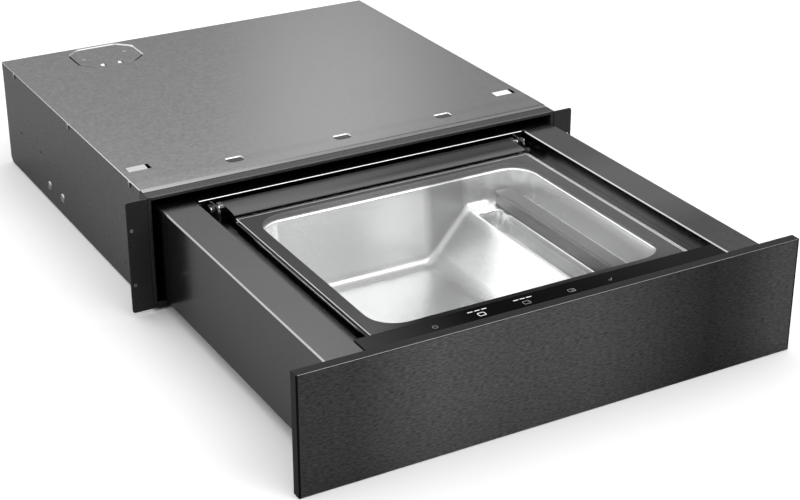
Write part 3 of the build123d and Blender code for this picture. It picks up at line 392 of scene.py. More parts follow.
# frame_black carries a painted highlight: a thin paler strip along the front edge of the top rail
MT["frame_black"] = paint("frame_black", (0.020, 0.020, 0.021), rough=0.30, peel=0.006, spec=0.5, painted_light=lambda m, c: m.mix(m.box(x=(-0.2640, 0.2640), y=(-0.0422, -0.0410), z=(0.1398, 0.1412)), c, (0.075, 0.075, 0.077)))
MT["front_filler"] = moulded("front_filler", (0.18, 0.18, 0.17), 0.6)
MT["front_inner"] = paint("front_inner", (0.05, 0.05, 0.053), rough=0.45)
MT["buffer_rubber"] = rubber("buffer_rubber", (0.03, 0.03, 0.032))
MT["pad_rubber"] = rubber("pad_rubber")
MT["box_graphite"] = paint("box_graphite", (0.150, 0.150, 0.153), rough=0.17, metal=1.0, peel=0.0006, mottle=0.03, painted_light=box_painted_light)
MT["deck_black"] = paint("deck_black", (0.10, 0.10, 0.102), rough=0.18, metal=1.0, peel=0.0006, mottle=0.03, painted_light=deck_painted_light)
MT["carrier_plastic"] = moulded("carrier_plastic", (0.02, 0.02, 0.021), 0.5)
MT["board_small"] = board("board_small", (0.012, 0.07, 0.035))
MT["board_green"] = board("board_green", (0.015, 0.09, 0.04))
MT["gasket_rubber"] = rubber("gasket_rubber", (0.02, 0.02, 0.021), 0.55)
MT["bar_aluminium"] = brushed("bar_aluminium", (0.20, 0.20, 0.203), along=(0, 1, 0), rough=(0.24, 0.36), contrast=0.10, length=40.0)
MT["bar_band"] = moulded("bar_band", (0.095, 0.095, 0.093), 0.42, freq=1500.0)
MT["piston_steel"] = turned("piston_steel", (0.6, 0.6, 0.61), 0.18)
MT["cylinder_alu"] = turned("cylinder_alu", (0.45, 0.45, 0.46), 0.34)
MT["rail_grey"] = brushed("rail_grey", (0.105, 0.105, 0.107), along=(1, 0, 0), rough=(0.16, 0.22), contrast=0.05, length=40.0)
MT["hinge_steel"] = turned("hinge_steel", (0.66, 0.66, 0.67), 0.2)
MT["hinge_black"] = paint("hinge_black", (0.06, 0.06, 0.062), rough=0.28, metal=0.9)
MT["bush_plastic"] = moulded("bush_plastic", (0.03, 0.03, 0.032), 0.42)
MT["damper_plastic"] = moulded("damper_plastic", (0.018, 0.018, 0.019), 0.40)
MT["inlet_plastic"] = moulded("inlet_plastic", (0.015, 0.015, 0.016), 0.42)
MT["terminal_plastic"] = moulded("terminal_plastic", (0.5, 0.48, 0.42), 0.5)
MT["latch_plastic"] = moulded("latch_plastic", (0.06, 0.06, 0.062), 0.46)
MT["plunger_plastic"] = moulded("plunger_plastic", (0.55, 0.55, 0.53), 0.4)
MT["pump_alu"] = turned("pump_alu", (0.42, 0.42, 0.43), 0.42)
MT["motor_paint"] = paint("motor_paint", (0.035, 0.035, 0.04), rough=0.5, peel=0.03)
MT["fan_plastic"] = moulded("fan_plastic", (0.04, 0.04, 0.042), 0.4)
MT["feet_steel"] = galvanised("feet_steel", (0.38, 0.38, 0.39), metal=1.0)
MT["valve_paint"] = moulded("valve_paint", (0.03, 0.03, 0.033), 0.5)
MT["hose_rubber"] = rubber("hose_rubber", (0.09, 0.09, 0.09), 0.5)
MT["coil_steel"] = turned("coil_steel", (0.16, 0.13, 0.11), 0.5, metal=0.8)
# painted highlight: bright metal for the bevels of the hinge brackets
HIGHLIGHT_METAL = turned("painted_highlight_bevel", (0.62, 0.62, 0.63), 0.22)
GROUND = paint("glass_edge", (0.66, 0.68, 0.67), rough=0.35, peel=0.002, mottle=0.03)


def front_material():
    """Dark brushed steel: fine level strokes, smooth dark folds, painted reflection bands from end to end, a painted
    highlight line along the upper fold with a painted shadow line under it.
    """
    m = Mat("front_brushed").set(metal=1.0)
    a = m.noise(scale=(170, 170, 760), detail=4.0, rough=0.62)
    b = m.noise(scale=(42, 42, 1700), detail=2.0, rough=0.6)
    g = m.math("ADD", m.math("MULTIPLY", a, 0.80), m.math("MULTIPLY", b, 0.20))
    grain = m.ramp(g, [(0.36, (0.120, 0.120, 0.124)), (0.64, (0.315, 0.315, 0.320))])
    xyz = m.new("ShaderNodeSeparateXYZ")
    m.link(m.place(), xyz.inputs["Vector"])
    # painted reflection: lighter and darker bands from end to end
    cloud = m.noise(scale=(6, 6, 2.5), detail=2.0)
    along = m.math("ADD", xyz.outputs["X"], m.span(cloud, 0.3, 0.7, -0.008, 0.008))
    light_and_shade = m.ramp(m.span(along, -0.30, 0.30, 0.0, 1.0), [
        (0.02, 0.50), (0.11, 0.54), (0.18, 0.80), (0.25, 1.0), (0.40, 0.87), (0.56, 0.86), (0.64, 0.68), (0.74, 0.42), (0.82, 0.28), (0.88, 0.38), (0.96, 0.72)])
    grain = m.mix(1.0, grain, light_and_shade, "MULTIPLY")
    flat = m.span(xyz.outputs["Y"], -0.46495, -0.46475, 1.0, 0.0)
    c = m.mix(flat, (0.024, 0.024, 0.025), grain)
    # the folded side edges are darker still, the upper fold has a painted highlight in a thin line with a painted
    # shadow line under it
    side = m.math("MULTIPLY", m.span(m.math("ABSOLUTE", xyz.outputs["X"], 0.0), 0.2947, 0.2950, 0.0, 1.0), m.span(xyz.outputs["Y"], -0.4642, -0.4638, 1.0, 0.0))
    top = m.math("MULTIPLY", m.span(xyz.outputs["Z"], 0.13325, 0.13335, 0.0, 1.0), m.span(xyz.outputs["Y"], -0.46468, -0.46460, 1.0, 0.0))
    under = m.math("MULTIPLY", m.span(xyz.outputs["Z"], 0.13245, 0.13260, 0.0, 1.0), m.span(xyz.outputs["Z"], 0.13320, 0.13325, 1.0, 0.0))
    c = m.mix(m.math("MULTIPLY", under, 0.6), c, (0.02, 0.02, 0.021))
    c = m.mix(top, c, (0.21, 0.21, 0.214))
    c = m.mix(side, c, (0.012, 0.012, 0.013))
    m.color(c)
    m.roughness(m.span(g, 0.3, 0.7, 0.30, 0.42))
    m.bump(m.math("MULTIPLY", g, flat), 0.004, 0.6)
    return m.m


MT["front_brushed"] = front_material()


def strip_material():
    m = Mat("strip_glass").set(spec=0.5, ior=1.08)
    a = m.noise(freq=18.0, detail=2.0)
    b = m.noise(freq=900.0, detail=2.0)
    x = m.axis("X")
    # painted reflection: lighter at the left end and towards the right end
    left = m.span(x, -0.215, -0.09, 1.0, 0.0)
    right = m.span(x, 0.02, 0.16, 0.0, 1.0)
    c = m.ramp(a, [(0.3, (0.0022, 0.0022, 0.0024)), (0.7, (0.0034, 0.0034, 0.0036))])
    c = m.mix(left, c, (0.030, 0.030, 0.031))
    c = m.mix(right, c, (0.012, 0.012, 0.0125))
    m.color(c)
    m.roughness(m.span(b, 0.3, 0.7, 0.10, 0.17))
    return m.m


def chamber_material():
    """Satin pressed steel: faint drawing marks, soft clouds, painted light and shade over the pressing."""
    m = Mat("chamber_steel").set(metal=0.88)
    g = m.noise(scale=(900, 25, 900), detail=2.0, rough=0.5)
    cloud = m.noise(freq=7.0, detail=3.0)
    c = m.ramp(g, [(0.3, (0.600, 0.600, 0.603)), (0.7, (0.635, 0.635, 0.638))])
    c = m.mix(m.span(cloud, 0.3, 0.7, 0.0, 0.3), c, (0.565, 0.565, 0.570))
    # painted light and shade: the walls painted brighter than the floor, painted shade in the corner behind the ramp
    xyz = m.new("ShaderNodeSeparateXYZ")
    m.link(m.place(), xyz.inputs["Vector"])
    X, Y, Z = (xyz.outputs[k] for k in ("X", "Y", "Z"))
    light_and_shade = m.span(Z, 0.021, 0.034, 0.52, 1.62)
    far = m.math("MULTIPLY", m.span(Y, back(320), back(342), 0.0, 1.0), m.span(X, 0.01, 0.14, 0.0, 1.0))
    light_and_shade = m.math("MULTIPLY", light_and_shade, m.span(far, 0.0, 1.0, 1.0, 0.78))
    # painted shade on the ramp
    ramp = m.math("MULTIPLY", m.span(Y, back(190), back(320), 0.0, 1.0), m.math("MULTIPLY", m.span(X, 0.036, 0.050, 0.0, 1.0), m.span(X, 0.088, 0.100, 1.0, 0.0)))
    light_and_shade = m.math("MULTIPLY", light_and_shade, m.span(ramp, 0.0, 1.0, 1.0, 0.47))
    # painted shade at the foot of the ramp
    foot = m.math("MULTIPLY", m.span(Y, back(120), back(190), 1.0, 0.0), m.math("MULTIPLY", m.span(X, 0.030, 0.050, 0.0, 1.0), m.span(X, 0.088, 0.100, 1.0, 0.0)))
    light_and_shade = m.math("MULTIPLY", light_and_shade, m.span(foot, 0.0, 1.0, 1.0, 0.48))
    # painted shade in the groove
    groove = m.math("MULTIPLY", m.span(X, 0.098, 0.102, 0.0, 1.0), m.span(Z, 0.066, 0.073, 1.0, 0.0))
    light_and_shade = m.math("MULTIPLY", light_and_shade, m.span(groove, 0.0, 1.0, 1.0, 0.58))
    # painted light on the right-hand part
    light_and_shade = m.math("MULTIPLY", light_and_shade, m.span(X, 0.118, 0.126, 1.0, 1.25))
    # painted shade along the fold
    fold = m.math("MULTIPLY", m.math("MULTIPLY", m.span(X, 0.1265, 0.1280, 0.0, 1.0), m.span(X, 0.1322, 0.1335, 1.0, 0.0)), m.math("MULTIPLY", m.span(Z, 0.067, 0.070, 0.0, 1.0), m.span(Z, 0.0752, 0.0760, 1.0, 0.0)))
    light_and_shade = m.math("MULTIPLY", light_and_shade, m.span(fold, 0.0, 1.0, 1.0, 0.55))
    c = m.mix(1.0, c, light_and_shade, "MULTIPLY")
    m.color(c)
    m.roughness(m.span(cloud, 0.3, 0.7, 0.24, 0.28))
    return m.m


MT["strip_glass"] = strip_material()
MT["chamber_steel"] = chamber_material()


def glass_material():
    """Clear float glass that lets lamps through."""
    m = Mat("lid_glass").set(color=(0.97, 0.975, 0.972), rough=0.0, ior=1.42, trans=1.0)
    lp = m.new("ShaderNodeLightPath")
    tr = m.new("ShaderNodeBsdfTransparent")
    tr.inputs["Color"].default_value = (0.90, 0.905, 0.90, 1)
    mx = m.new("ShaderNodeMixShader")
    m.link(lp.outputs["Is Shadow Ray"], mx.inputs["Fac"])
    m.link(m.bsdf.outputs["BSDF"], mx.inputs[1])
    m.link(tr.outputs["BSDF"], mx.inputs[2])
    m.link(mx.outputs["Shader"], m.out.inputs["Surface"])
    smear = m.noise(freq=26.0, detail=5.0, rough=0.65)
    m.color(m.ramp(smear, [(0.35, (0.955, 0.960, 0.957)), (0.65, (0.975, 0.980, 0.977))]))
    return m.m


MT["lid_glass"] = glass_material()


def frit_material():
    """Ceramic print under the pane, lighter towards the right, with a painted highlight line along its right edge."""
    m = Mat("frit_print").set(spec=0.0, rough=0.6)
    dots = m.noise(freq=900.0, detail=2.0)
    cloud = m.noise(freq=12.0, detail=2.0)
    x = m.axis("X")
    c = m.ramp(cloud, [(0.3, (0.018, 0.018, 0.0185)), (0.7, (0.024, 0.024, 0.0245))])
    c = m.mix(m.span(x, 0.02, 0.18, 0.0, 1.0), c, (0.085, 0.085, 0.086))
    c = m.mix(m.span(dots, 0.4, 0.7, 0.0, 0.25), c, (0.006, 0.006, 0.006))
    # painted highlight along the right edge
    c = m.mix(m.span(x, 0.1886, 0.1889, 0.0, 1.0), c, (0.60, 0.60, 0.61))
    m.color(c)
    m.roughness(m.span(dots, 0.3, 0.7, 0.5, 0.7))
    return m.m


FRIT = frit_material()
PRINT = paint("icon_print", (0.80, 0.82, 0.84), rough=0.5, peel=0.001, mottle=0.02)
PRINT_DIM = paint("icon_print_dim", (0.22, 0.22, 0.225), rough=0.5, peel=0.001, mottle=0.02)


# ------------------------------------------------------- carried-over nodes
NODE_SLOT = {
    "base_pan": "galvanised_hidden", "rear_panel": "galvanised_hidden", "front_brackets": "galvanised_hidden", "drawer_tray": "galvanised_hidden", "drawer_rear_wall": "galvanised_hidden",
    "base_pads": "pad_rubber", "left_side_panel": "galvanised_side", "right_side_panel": "galvanised_side", "side_rivets": "rivet_zinc", "top_cover": "galvanised_cover",
    "terminal_cover": "access_plate", "mains_inlet": "inlet_plastic", "terminal_block": "terminal_plastic", "housing_screws": "screw_zinc", "latch_striker": "screw_zinc",
    "hinge_screws": "screw_zinc", "frame_top_rail": "frame_black", "frame_bottom_rail": "frame_black", "frame_left_post": "frame_black", "frame_right_post": "frame_black",
    "left_ear": "frame_black", "right_ear": "frame_black", "runner_brackets": "bracket_zinc", "latch_body": "latch_plastic", "latch_plunger": "plunger_plastic",
    "runner_outers": "runner_zinc", "runner_middles": "runner_zinc", "runner_inners": "runner_zinc", "front_skin": "front_brushed", "front_core": "front_filler",
    "front_back_plate": "front_inner", "front_buffers": "buffer_rubber", "left_side_box": "box_graphite", "right_side_box": "box_graphite", "deck_plate": "deck_black",
    "rear_cover_plate": "deck_black", "control_glass": "strip_glass", "control_carrier": "carrier_plastic", "control_board": "board_small", "chamber": "chamber_steel",
    "chamber_gasket": "gasket_rubber", "sealing_bar": "bar_aluminium", "heating_band": "bar_band", "bar_pistons": "piston_steel", "bar_cylinders": "cylinder_alu",
    "lid_glass": "lid_glass", "lid_rear_rail": "rail_grey", "hinge_pins": "hinge_steel", "hinge_brackets": "hinge_black", "hinge_bushes": "bush_plastic",
    "hinge_dampers": "damper_plastic", "vacuum_pump": "pump_alu", "pump_motor": "motor_paint", "pump_fan": "fan_plastic", "pump_feet": "feet_steel",
    "valve_block": "valve_paint", "vacuum_hose": "hose_rubber", "transformer": "coil_steel", "power_board": "board_green",
}
BEVEL = {
    "top_cover": 0.25, "terminal_cover": 0.2, "left_side_panel": 0.25, "right_side_panel": 0.25, "frame_top_rail": 0.3, "frame_left_post": 0.25, "frame_right_post": 0.25,
    "left_ear": 0.35, "right_ear": 0.35, "left_side_box": 0.25, "right_side_box": 0.25, "deck_plate": 0.2, "rear_cover_plate": 0.2, "control_glass": 0.15, "control_carrier": 0.3,
    "lid_rear_rail": 0.4, "hinge_brackets": 0.35, "hinge_dampers": 0.4, "sealing_bar": 0.3, "heating_band": 0.15, "hinge_pins": 0.3, "front_back_plate": 0.2, "base_pan": 0.2,
    "drawer_tray": 0.2, "drawer_rear_wall": 0.2, "rear_panel": 0.2, "runner_brackets": 0.2, "runner_outers": 0.15, "runner_middles": 0.15, "runner_inners": 0.15,
    "mains_inlet": 0.4, "terminal_block": 0.4, "latch_body": 0.5, "pump_motor": 0.5, "vacuum_pump": 0.5, "valve_block": 0.6, "transformer": 0.6, "power_board": 0.3,
    "front_brackets": 0.2, "frame_bottom_rail": 0.2,
}
HIGHLIGHT_BEVELS = ("hinge_brackets",)
MANY_HOLES = ("top_cover", "base_pan", "drawer_tray")
for name, obj in N.items():
    mat = MT[NODE_SLOT[name]]
    obj.data.materials.clear()
    obj.data.materials.append(mat)
    w = BEVEL.get(name, 0.0)
    weld = obj.modifiers.new("weld", "WELD")
    weld.merge_threshold = 0.000004
    if w:
        if name not in MANY_HOLES:
            dec = obj.modifiers.new("planes", "DECIMATE")
            dec.decimate_type = "DISSOLVE"
            dec.angle_limit = math.radians(0.6)
        bev = obj.modifiers.new("edges", "BEVEL")
        bev.width = w * MM
        bev.segments = 2
        bev.limit_method = "ANGLE"
        bev.angle_limit = math.radians(38)
        bev.use_clamp_overlap = True
        bev.miter_outer = "MITER_ARC"
        # painted highlight on these bevels
        if name in HIGHLIGHT_BEVELS:
            obj.data.materials.append(HIGHLIGHT_METAL)
            bev.material = 1
        wn = obj.modifiers.new("normals", "WEIGHTED_NORMAL")
        wn.weight = 60
        wn.keep_sharp = False


# --------------------------------------------------------------- new pieces
def mesh_object(name, verts, faces, material, smooth=True):
    me = bpy.data.meshes.new(name)
    me.from_pydata([tuple(map(float, v)) for v in verts], [], [tuple(int(i) for i in f) for f in faces])
    me.validate()
    me.update()
    me.materials.append(material)
    if smooth:
        me.polygons.foreach_set("use_smooth", [True] * len(me.polygons))
    ob = bpy.data.objects.new(name, me)
    bpy.context.scene.collection.objects.link(ob)
    return ob


def prism(bm, outline, z0, z1):
    """Closed prism over an outline of (x, y) points in metres."""
    lo = [bm.verts.new((x, y, z0)) for x, y in outline]
    hi = [bm.verts.new((x, y, z1)) for x, y in outline]
    n = len(outline)
    bm.faces.new(hi)
    bm.faces.new(lo[::-1])
    for i in range(n):
        j = (i + 1) % n
        bm.faces.new((lo[i], lo[j], hi[j], hi[i]))


def ring_prism(bm, outer, inner, z0, z1):
    """Closed ring between two outlines with the same number of points."""
    n = len(outer)
    ol = [bm.verts.new((x, y, z0)) for x, y in outer]
    oh = [bm.verts.new((x, y, z1)) for x, y in outer]
    il = [bm.verts.new((x, y, z0)) for x, y in inner]
    ih = [bm.verts.new((x, y, z1)) for x, y in inner]
    for i in range(n):
        j = (i + 1) % n
        bm.faces.new((oh[i], oh[j], ih[j], ih[i]))
        bm.faces.new((ol[j], ol[i], il[i], il[j]))
        bm.faces.new((ol[i], ol[j], oh[j], oh[i]))
        bm.faces.new((il[j], il[i], ih[i], ih[j]))


def rounded_outline(x0, x1, y0, y1, r, seg=10):
    pts = []
    for cx, cy, a0 in ((x1 - r, y0 + r, -90), (x1 - r, y1 - r, 0), (x0 + r, y1 - r, 90), (x0 + r, y0 + r, 180)):
        for k in range(seg + 1):
            a = math.radians(a0 + 90 * k / seg)
            pts.append((cx + r * math.cos(a), cy + r * math.sin(a)))
    return pts


def bm_object(name, bm, material, bevel=0.0, segments=3, smooth=True):
    me = bpy.data.meshes.new(name)
    bmesh.ops.recalc_face_normals(bm, faces=bm.faces)
    if bevel:
        es = [e for e in bm.edges if len(e.link_faces) == 2 and e.calc_face_angle(0) > math.radians(50)]
        bmesh.ops.bevel(bm, geom=es, offset=bevel, segments=segments, profile=0.5, affect="EDGES", clamp_overlap=True)
    bm.to_mesh(me)
    bm.free()
    me.materials.append(material)
    if smooth:
        me.polygons.foreach_set("use_smooth", [True] * len(me.polygons))
    ob = bpy.data.objects.new(name, me)
    bpy.context.scene.collection.objects.link(ob)
    if smooth:
        wn = ob.modifiers.new("normals", "WEIGHTED_NORMAL")
        wn.weight = 60
        wn.keep_sharp = False
    return ob


# ---- pressed tub
RIM_Z, FLOOR_Z, SHELF_Z, TRENCH_Z = 112.7, 20.0, 74.6, 51.0
RIM = (-173.4, 173.4, 62.0, 348.0)
RIM_R = 32.0
DRAFT = math.radians(7.5)


def inside_distance(x, y, x0, x1, y0, y1, r):
    qx = np.abs(x - (x0 + x1) / 2) - ((x1 - x0) / 2 - r)
    qy = np.abs(y - (y0 + y1) / 2) - ((y1 - y0) / 2 - r)
    out = np.hypot(np.maximum(qx, 0), np.maximum(qy, 0)) + np.minimum(np.maximum(qx, qy), 0) - r
    return -out


def press(d, top, bottom, draft, r_top, r_bottom):
    """Height at inside distance d of a pressed wall: rounded rim, drafted wall, rounded foot."""
    turn = math.pi / 2 - draft
    slope = 1 / math.tan(draft)
    t1, t2 = r_top * math.tan(turn / 2), r_bottom * math.tan(turn / 2)
    dj = (top - bottom) / slope
    z = np.where(d > 0, top - d * slope, top)
    arc1 = (d > -t1) & (d < t1 * math.cos(turn))
    z = np.where(arc1, top - r_top + np.sqrt(np.maximum(r_top ** 2 - (d + t1) ** 2, 0)), z)
    dc = dj + t2
    arc2 = (d > dj - t2 * math.cos(turn)) & (d < dc)
    z = np.where(arc2 & (d > t1 * math.cos(turn)), bottom + r_bottom - np.sqrt(np.maximum(r_bottom ** 2 - (d - dc) ** 2, 0)), z)
    z = np.where(d >= dc, bottom, z)
    return z


def ramp_height(x):
    ang = math.atan2(SHELF_Z - FLOOR_Z, 55.5)
    r1, r2 = 18.0, 5.0
    t1, t2 = r1 * math.tan(ang / 2), r2 * math.tan(ang / 2)
    z = np.where(x < 40, FLOOR_Z, np.minimum(FLOOR_Z + (x - 40) * math.tan(ang), SHELF_Z))
    a = (x > 40 - t1) & (x < 40 + t1 * math.cos(ang))
    z = np.where(a, FLOOR_Z + r1 - np.sqrt(np.maximum(r1 ** 2 - (x - (40 - t1)) ** 2, 0)), z)
    b = (x > 95.5 - t2 * math.cos(ang)) & (x < 95.5 + t2)
    z = np.where(b, SHELF_Z - r2 + np.sqrt(np.maximum(r2 ** 2 - (x - (95.5 + t2)) ** 2, 0)), z)
    return z


def tub_height(x, d):
    base = ramp_height(x)
    mouth = inside_distance(x, d, 98.5, 130.0, 84.0, 326.0, 9.0)
    for cy in (109.0, 309.0):
        mouth = np.minimum(mouth, np.hypot(x - 141.75, d - cy) - 15.0)
    channel = press(mouth, SHELF_Z, TRENCH_Z, math.radians(14), np.where(x > 118, 0.6, 2.4), 6.0)
    base = np.where(x > 90, np.minimum(base, channel), base)
    return press(inside_distance(x, d, *RIM, RIM_R), RIM_Z, base, DRAFT, 3.0, 12.0)


def build_tub():
    xs = np.unique(np.round(np.concatenate([
        np.linspace(-141.4, 28, 46), np.linspace(28, 50, 16), np.linspace(50, 92, 14), np.linspace(92, 141.4, 62)]), 4))
    ds = np.unique(np.round(np.concatenate([
        np.linspace(94, 128, 40), np.linspace(128, 290, 48), np.linspace(290, 316, 32)]), 4))
    nx, nd = len(xs), len(ds)
    gx, gd = np.meshgrid(xs, ds, indexing="ij")
    pts = [np.stack([gx.ravel(), gd.ravel()], 1)]
    gid = np.arange(nx * nd).reshape(nx, nd)
    faces = []
    for i in range(nx - 1):
        for j in range(nd - 1):
            faces.append((gid[i, j], gid[i + 1, j], gid[i + 1, j + 1], gid[i, j + 1]))
    # perimeter of the inner rectangle, counter-clockwise, each with its outward direction
    NA = 14
    per = []
    corner = {"fr": (141.4, 94.0, -90), "br": (141.4, 316.0, 0), "bl": (-141.4, 316.0, 90), "fl": (-141.4, 94.0, 180)}

    def arc(key, vid):
        cx, cd, a0 = corner[key]
        for k in range(1, NA):
            a = math.radians(a0 + 90 * k / NA)
            per.append((cx, cd, math.cos(a), math.sin(a), vid, key))

    for i in range(nx):
        per.append((xs[i], 94.0, 0.0, -1.0, gid[i, 0], None))
    arc("fr", gid[-1, 0])
    for j in range(nd):
        per.append((141.4, ds[j], 1.0, 0.0, gid[-1, j], None))
    arc("br", gid[-1, -1])
    for i in range(nx - 1, -1, -1):
        per.append((xs[i], 316.0, 0.0, 1.0, gid[i, -1], None))
    arc("bl", gid[0, -1])
    for j in range(nd - 1, -1, -1):
        per.append((-141.4, ds[j], -1.0, 0.0, gid[0, j], None))
    arc("fl", gid[0, 0])
    n = len(per)
    P = np.array([(p[0], p[1], p[2], p[3]) for p in per])
    inner_ids = np.array([p[4] for p in per])
    dist = np.concatenate([
        np.linspace(30.5, 24.5, 5), np.linspace(23.5, 0.8, 36), [0.343, 0.1, -0.25, -0.6, -1.0, -1.4, -1.8, -2.2, -2.63, -4.0, -9.0]])
    prev = inner_ids
    count = nx * nd
    for dd in dist:
        o = 32.0 - dd
        ring = np.stack([P[:, 0] + P[:, 2] * o, P[:, 1] + P[:, 3] * o], 1)
        pts.append(ring)
        ids = np.arange(count, count + n)
        count += n
        for k in range(n):
            m = (k + 1) % n
            if prev[k] == prev[m]:
                faces.append((prev[k], ids[k], ids[m]))
            else:
                faces.append((prev[k], ids[k], ids[m], prev[m]))
        prev = ids
    # the flange's own outline
    edge = []
    for p in per:
        x, d, ux, ud, _, key = p
        if key is None:
            edge.append((x + ux * 45.0, d + ud * 44.0))
        else:
            cx = 146.4 * math.copysign(1, x)
            cd = 90.0 if d < 200 else 320.0
            edge.append((cx + ux * 40.0, cd + ud * 40.0))
    pts.append(np.array(edge))
    ids = np.arange(count, count + n)
    count += n
    for k in range(n):
        m = (k + 1) % n
        faces.append((prev[k], ids[k], ids[m], prev[m]))
    xy = np.concatenate(pts)
    z = tub_height(xy[:, 0], xy[:, 1])
    z[-n:] = RIM_Z
    h = 0.05
    zx = (tub_height(xy[:, 0] + h, xy[:, 1]) - tub_height(xy[:, 0] - h, xy[:, 1])) / (2 * h)
    zd = (tub_height(xy[:, 0], xy[:, 1] + h) - tub_height(xy[:, 0], xy[:, 1] - h)) / (2 * h)
    nrm = np.stack([-zx, -zd, np.ones_like(zx)], 1)
    nrm /= np.linalg.norm(nrm, axis=1)[:, None]
    nrm[-n:] = (0, 0, 1)
    top = np.column_stack([xy[:, 0], xy[:, 1], z])
    under = top - nrm * 1.2
    allv = np.concatenate([top, under])
    allv = np.column_stack([allv[:, 0] * MM, (allv[:, 1] - OPEN_DEPTH / 2) * MM, allv[:, 2] * MM])
    total = list(faces) + [tuple(int(i) + count for i in f[::-1]) for f in faces]
    for k in range(n):
        m = (k + 1) % n
        total.append((ids[k], ids[k] + count, ids[m] + count, ids[m]))
    return allv, total


tv, tf = build_tub()
tub = mesh_object("chamber_shell", tv, tf, MT["chamber_steel"])
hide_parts("chamber")
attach(tub, "drawer")

# ---- lid: one pane of glass with a printed border on its underside
bm = bmesh.new()
prism(bm, rounded_outline(-0.1908, 0.1908, back(46), back(363), 0.003, 6), 0.1175, 0.123)
pane = bm_object("lid_pane", bm, MT["lid_glass"], bevel=0.0006, segments=2)
pane.data.materials.append(GROUND)
for poly in pane.data.polygons:
    if 0.15 < abs(poly.normal.z) < 0.95:
        poly.material_index = 1
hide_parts("lid_glass")
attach(pane, "lid")

bm = bmesh.new()
outer = rounded_outline(-0.1900, 0.1900, back(46.8), back(362.2), 0.003, 12)
inner = rounded_outline(-0.1740, 0.1740, back(63), back(355), 0.033, 12)
ring_prism(bm, outer, inner, 0.11745, 0.11765)
frit = bm_object("lid_border_print", bm, FRIT, smooth=False)
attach(frit, "lid")


# ---- touch strip: generic marks
def marks(name, shapes, material):
    bm = bmesh.new()
    for kind, *a in shapes:
        if kind == "bar":
            x0, d0, x1, d1, w = a
            p, q = Vector((x0 * MM, back(d0))), Vector((x1 * MM, back(d1)))
            t = (q - p).normalized() * (w / 2 * MM)
            s = Vector((-t.y, t.x))
            prism(bm, [tuple(p - s), tuple(q - s), tuple(q + s), tuple(p + s)], 0.12932, 0.12938)
        elif kind == "ring":
            x, d, r, w, a0, a1 = a
            k = 18
            angs = [math.radians(a0 + (a1 - a0) * i / k) for i in range(k + 1)]
            outl = [(x * MM + (r + w / 2) * MM * math.cos(t), back(d) + (r + w / 2) * MM * math.sin(t)) for t in angs]
            inl = [(x * MM + (r - w / 2) * MM * math.cos(t), back(d) + (r - w / 2) * MM * math.sin(t)) for t in angs]
            for i in range(k):
                prism(bm, [inl[i], outl[i], outl[i + 1], inl[i + 1]], 0.12932, 0.12938)
    ob = bm_object(name, bm, material, smooth=False)
    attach(ob, "drawer")
    return ob


def soft_box(x0, d0, x1, d1, r, w):
    """Rounded outline made of four bars and four quarter rings."""
    out = [("bar", x0 + r, d0, x1 - r, d0, w), ("bar", x0 + r, d1, x1 - r, d1, w), ("bar", x0, d0 + r, x0, d1 - r, w), ("bar", x1, d0 + r, x1, d1 - r, w)]
    for cx, cd, a in ((x0 + r, d0 + r, 180), (x1 - r, d0 + r, 270), (x1 - r, d1 - r, 0), (x0 + r, d1 - r, 90)):
        out.append(("ring", cx, cd, r, w, a, a + 90))
    return out


bright = []
for x in (-89.2, -81.25, -73.3):
    bright.append(("bar", x - 3.0, 35.6, x + 3.0, 35.6, 1.25))
for x in (-36.3, -28.6, -20.9):
    bright.append(("bar", x - 3.0, 35.2, x + 3.0, 35.2, 1.25))
bright += soft_box(-84.6, 24.0, -77.2, 30.0, 1.2, 0.85)
marks("strip_marks_bright", bright, PRINT)
dim = [("ring", -134.1, 26.4, 2.7, 0.6, -235, 55), ("bar", -134.1, 26.8, -134.1, 30.0, 0.6)]
dim += soft_box(-32.8, 23.4, -25.2, 29.2, 1.2, 0.7) + [("bar", -28.0, 26.3, -25.2, 26.3, 0.6)]
dim += soft_box(20.6, 23.6, 28.2, 29.0, 1.2, 0.6) + [("ring", 26.0, 25.6, 1.5, 0.5, 0, 360)]
dim += [("bar", 70.2, 27.2, 71.8, 25.2, 0.8), ("bar", 71.8, 25.2, 75.4, 29.6, 0.8)]
marks("strip_marks_dim", dim, PRINT_DIM)

# ---- grille of the suction port on the ledge
bm = bmesh.new()
seg = 28
port = (0.1618, back(209.0))
prof = [(0.0066, 0.0746), (0.0066, 0.0752), (0.0060, 0.0757), (0.0044, 0.0757), (0.0040, 0.0752), (0.0040, 0.0744), (0.0062, 0.0744)]
rings = []
for r, z in prof:
    rings.append([bm.verts.new((port[0] + r * math.cos(2 * math.pi * k / seg), port[1] + r * math.sin(2 * math.pi * k / seg), z)) for k in range(seg)])
for i in range(len(rings)):
    a, b = rings[i], rings[(i + 1) % len(rings)]
    for k in range(seg):
        m2 = (k + 1) % seg
        bm.faces.new((a[k], a[m2], b[m2], b[k]))
for gx in (-2.4, -0.8, 0.8, 2.4):
    hw = math.sqrt(4.05 ** 2 - gx ** 2)
    prism(bm, [(port[0] + (gx - 0.3) * MM, port[1] - hw * MM), (port[0] + (gx + 0.3) * MM, port[1] - hw * MM), (port[0] + (gx + 0.3) * MM, port[1] + hw * MM), (port[0] + (gx - 0.3) * MM, port[1] + hw * MM)], 0.0747, 0.0754)
grille = bm_object("suction_port_grille", bm, MT["chamber_steel"])
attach(grille, "drawer")

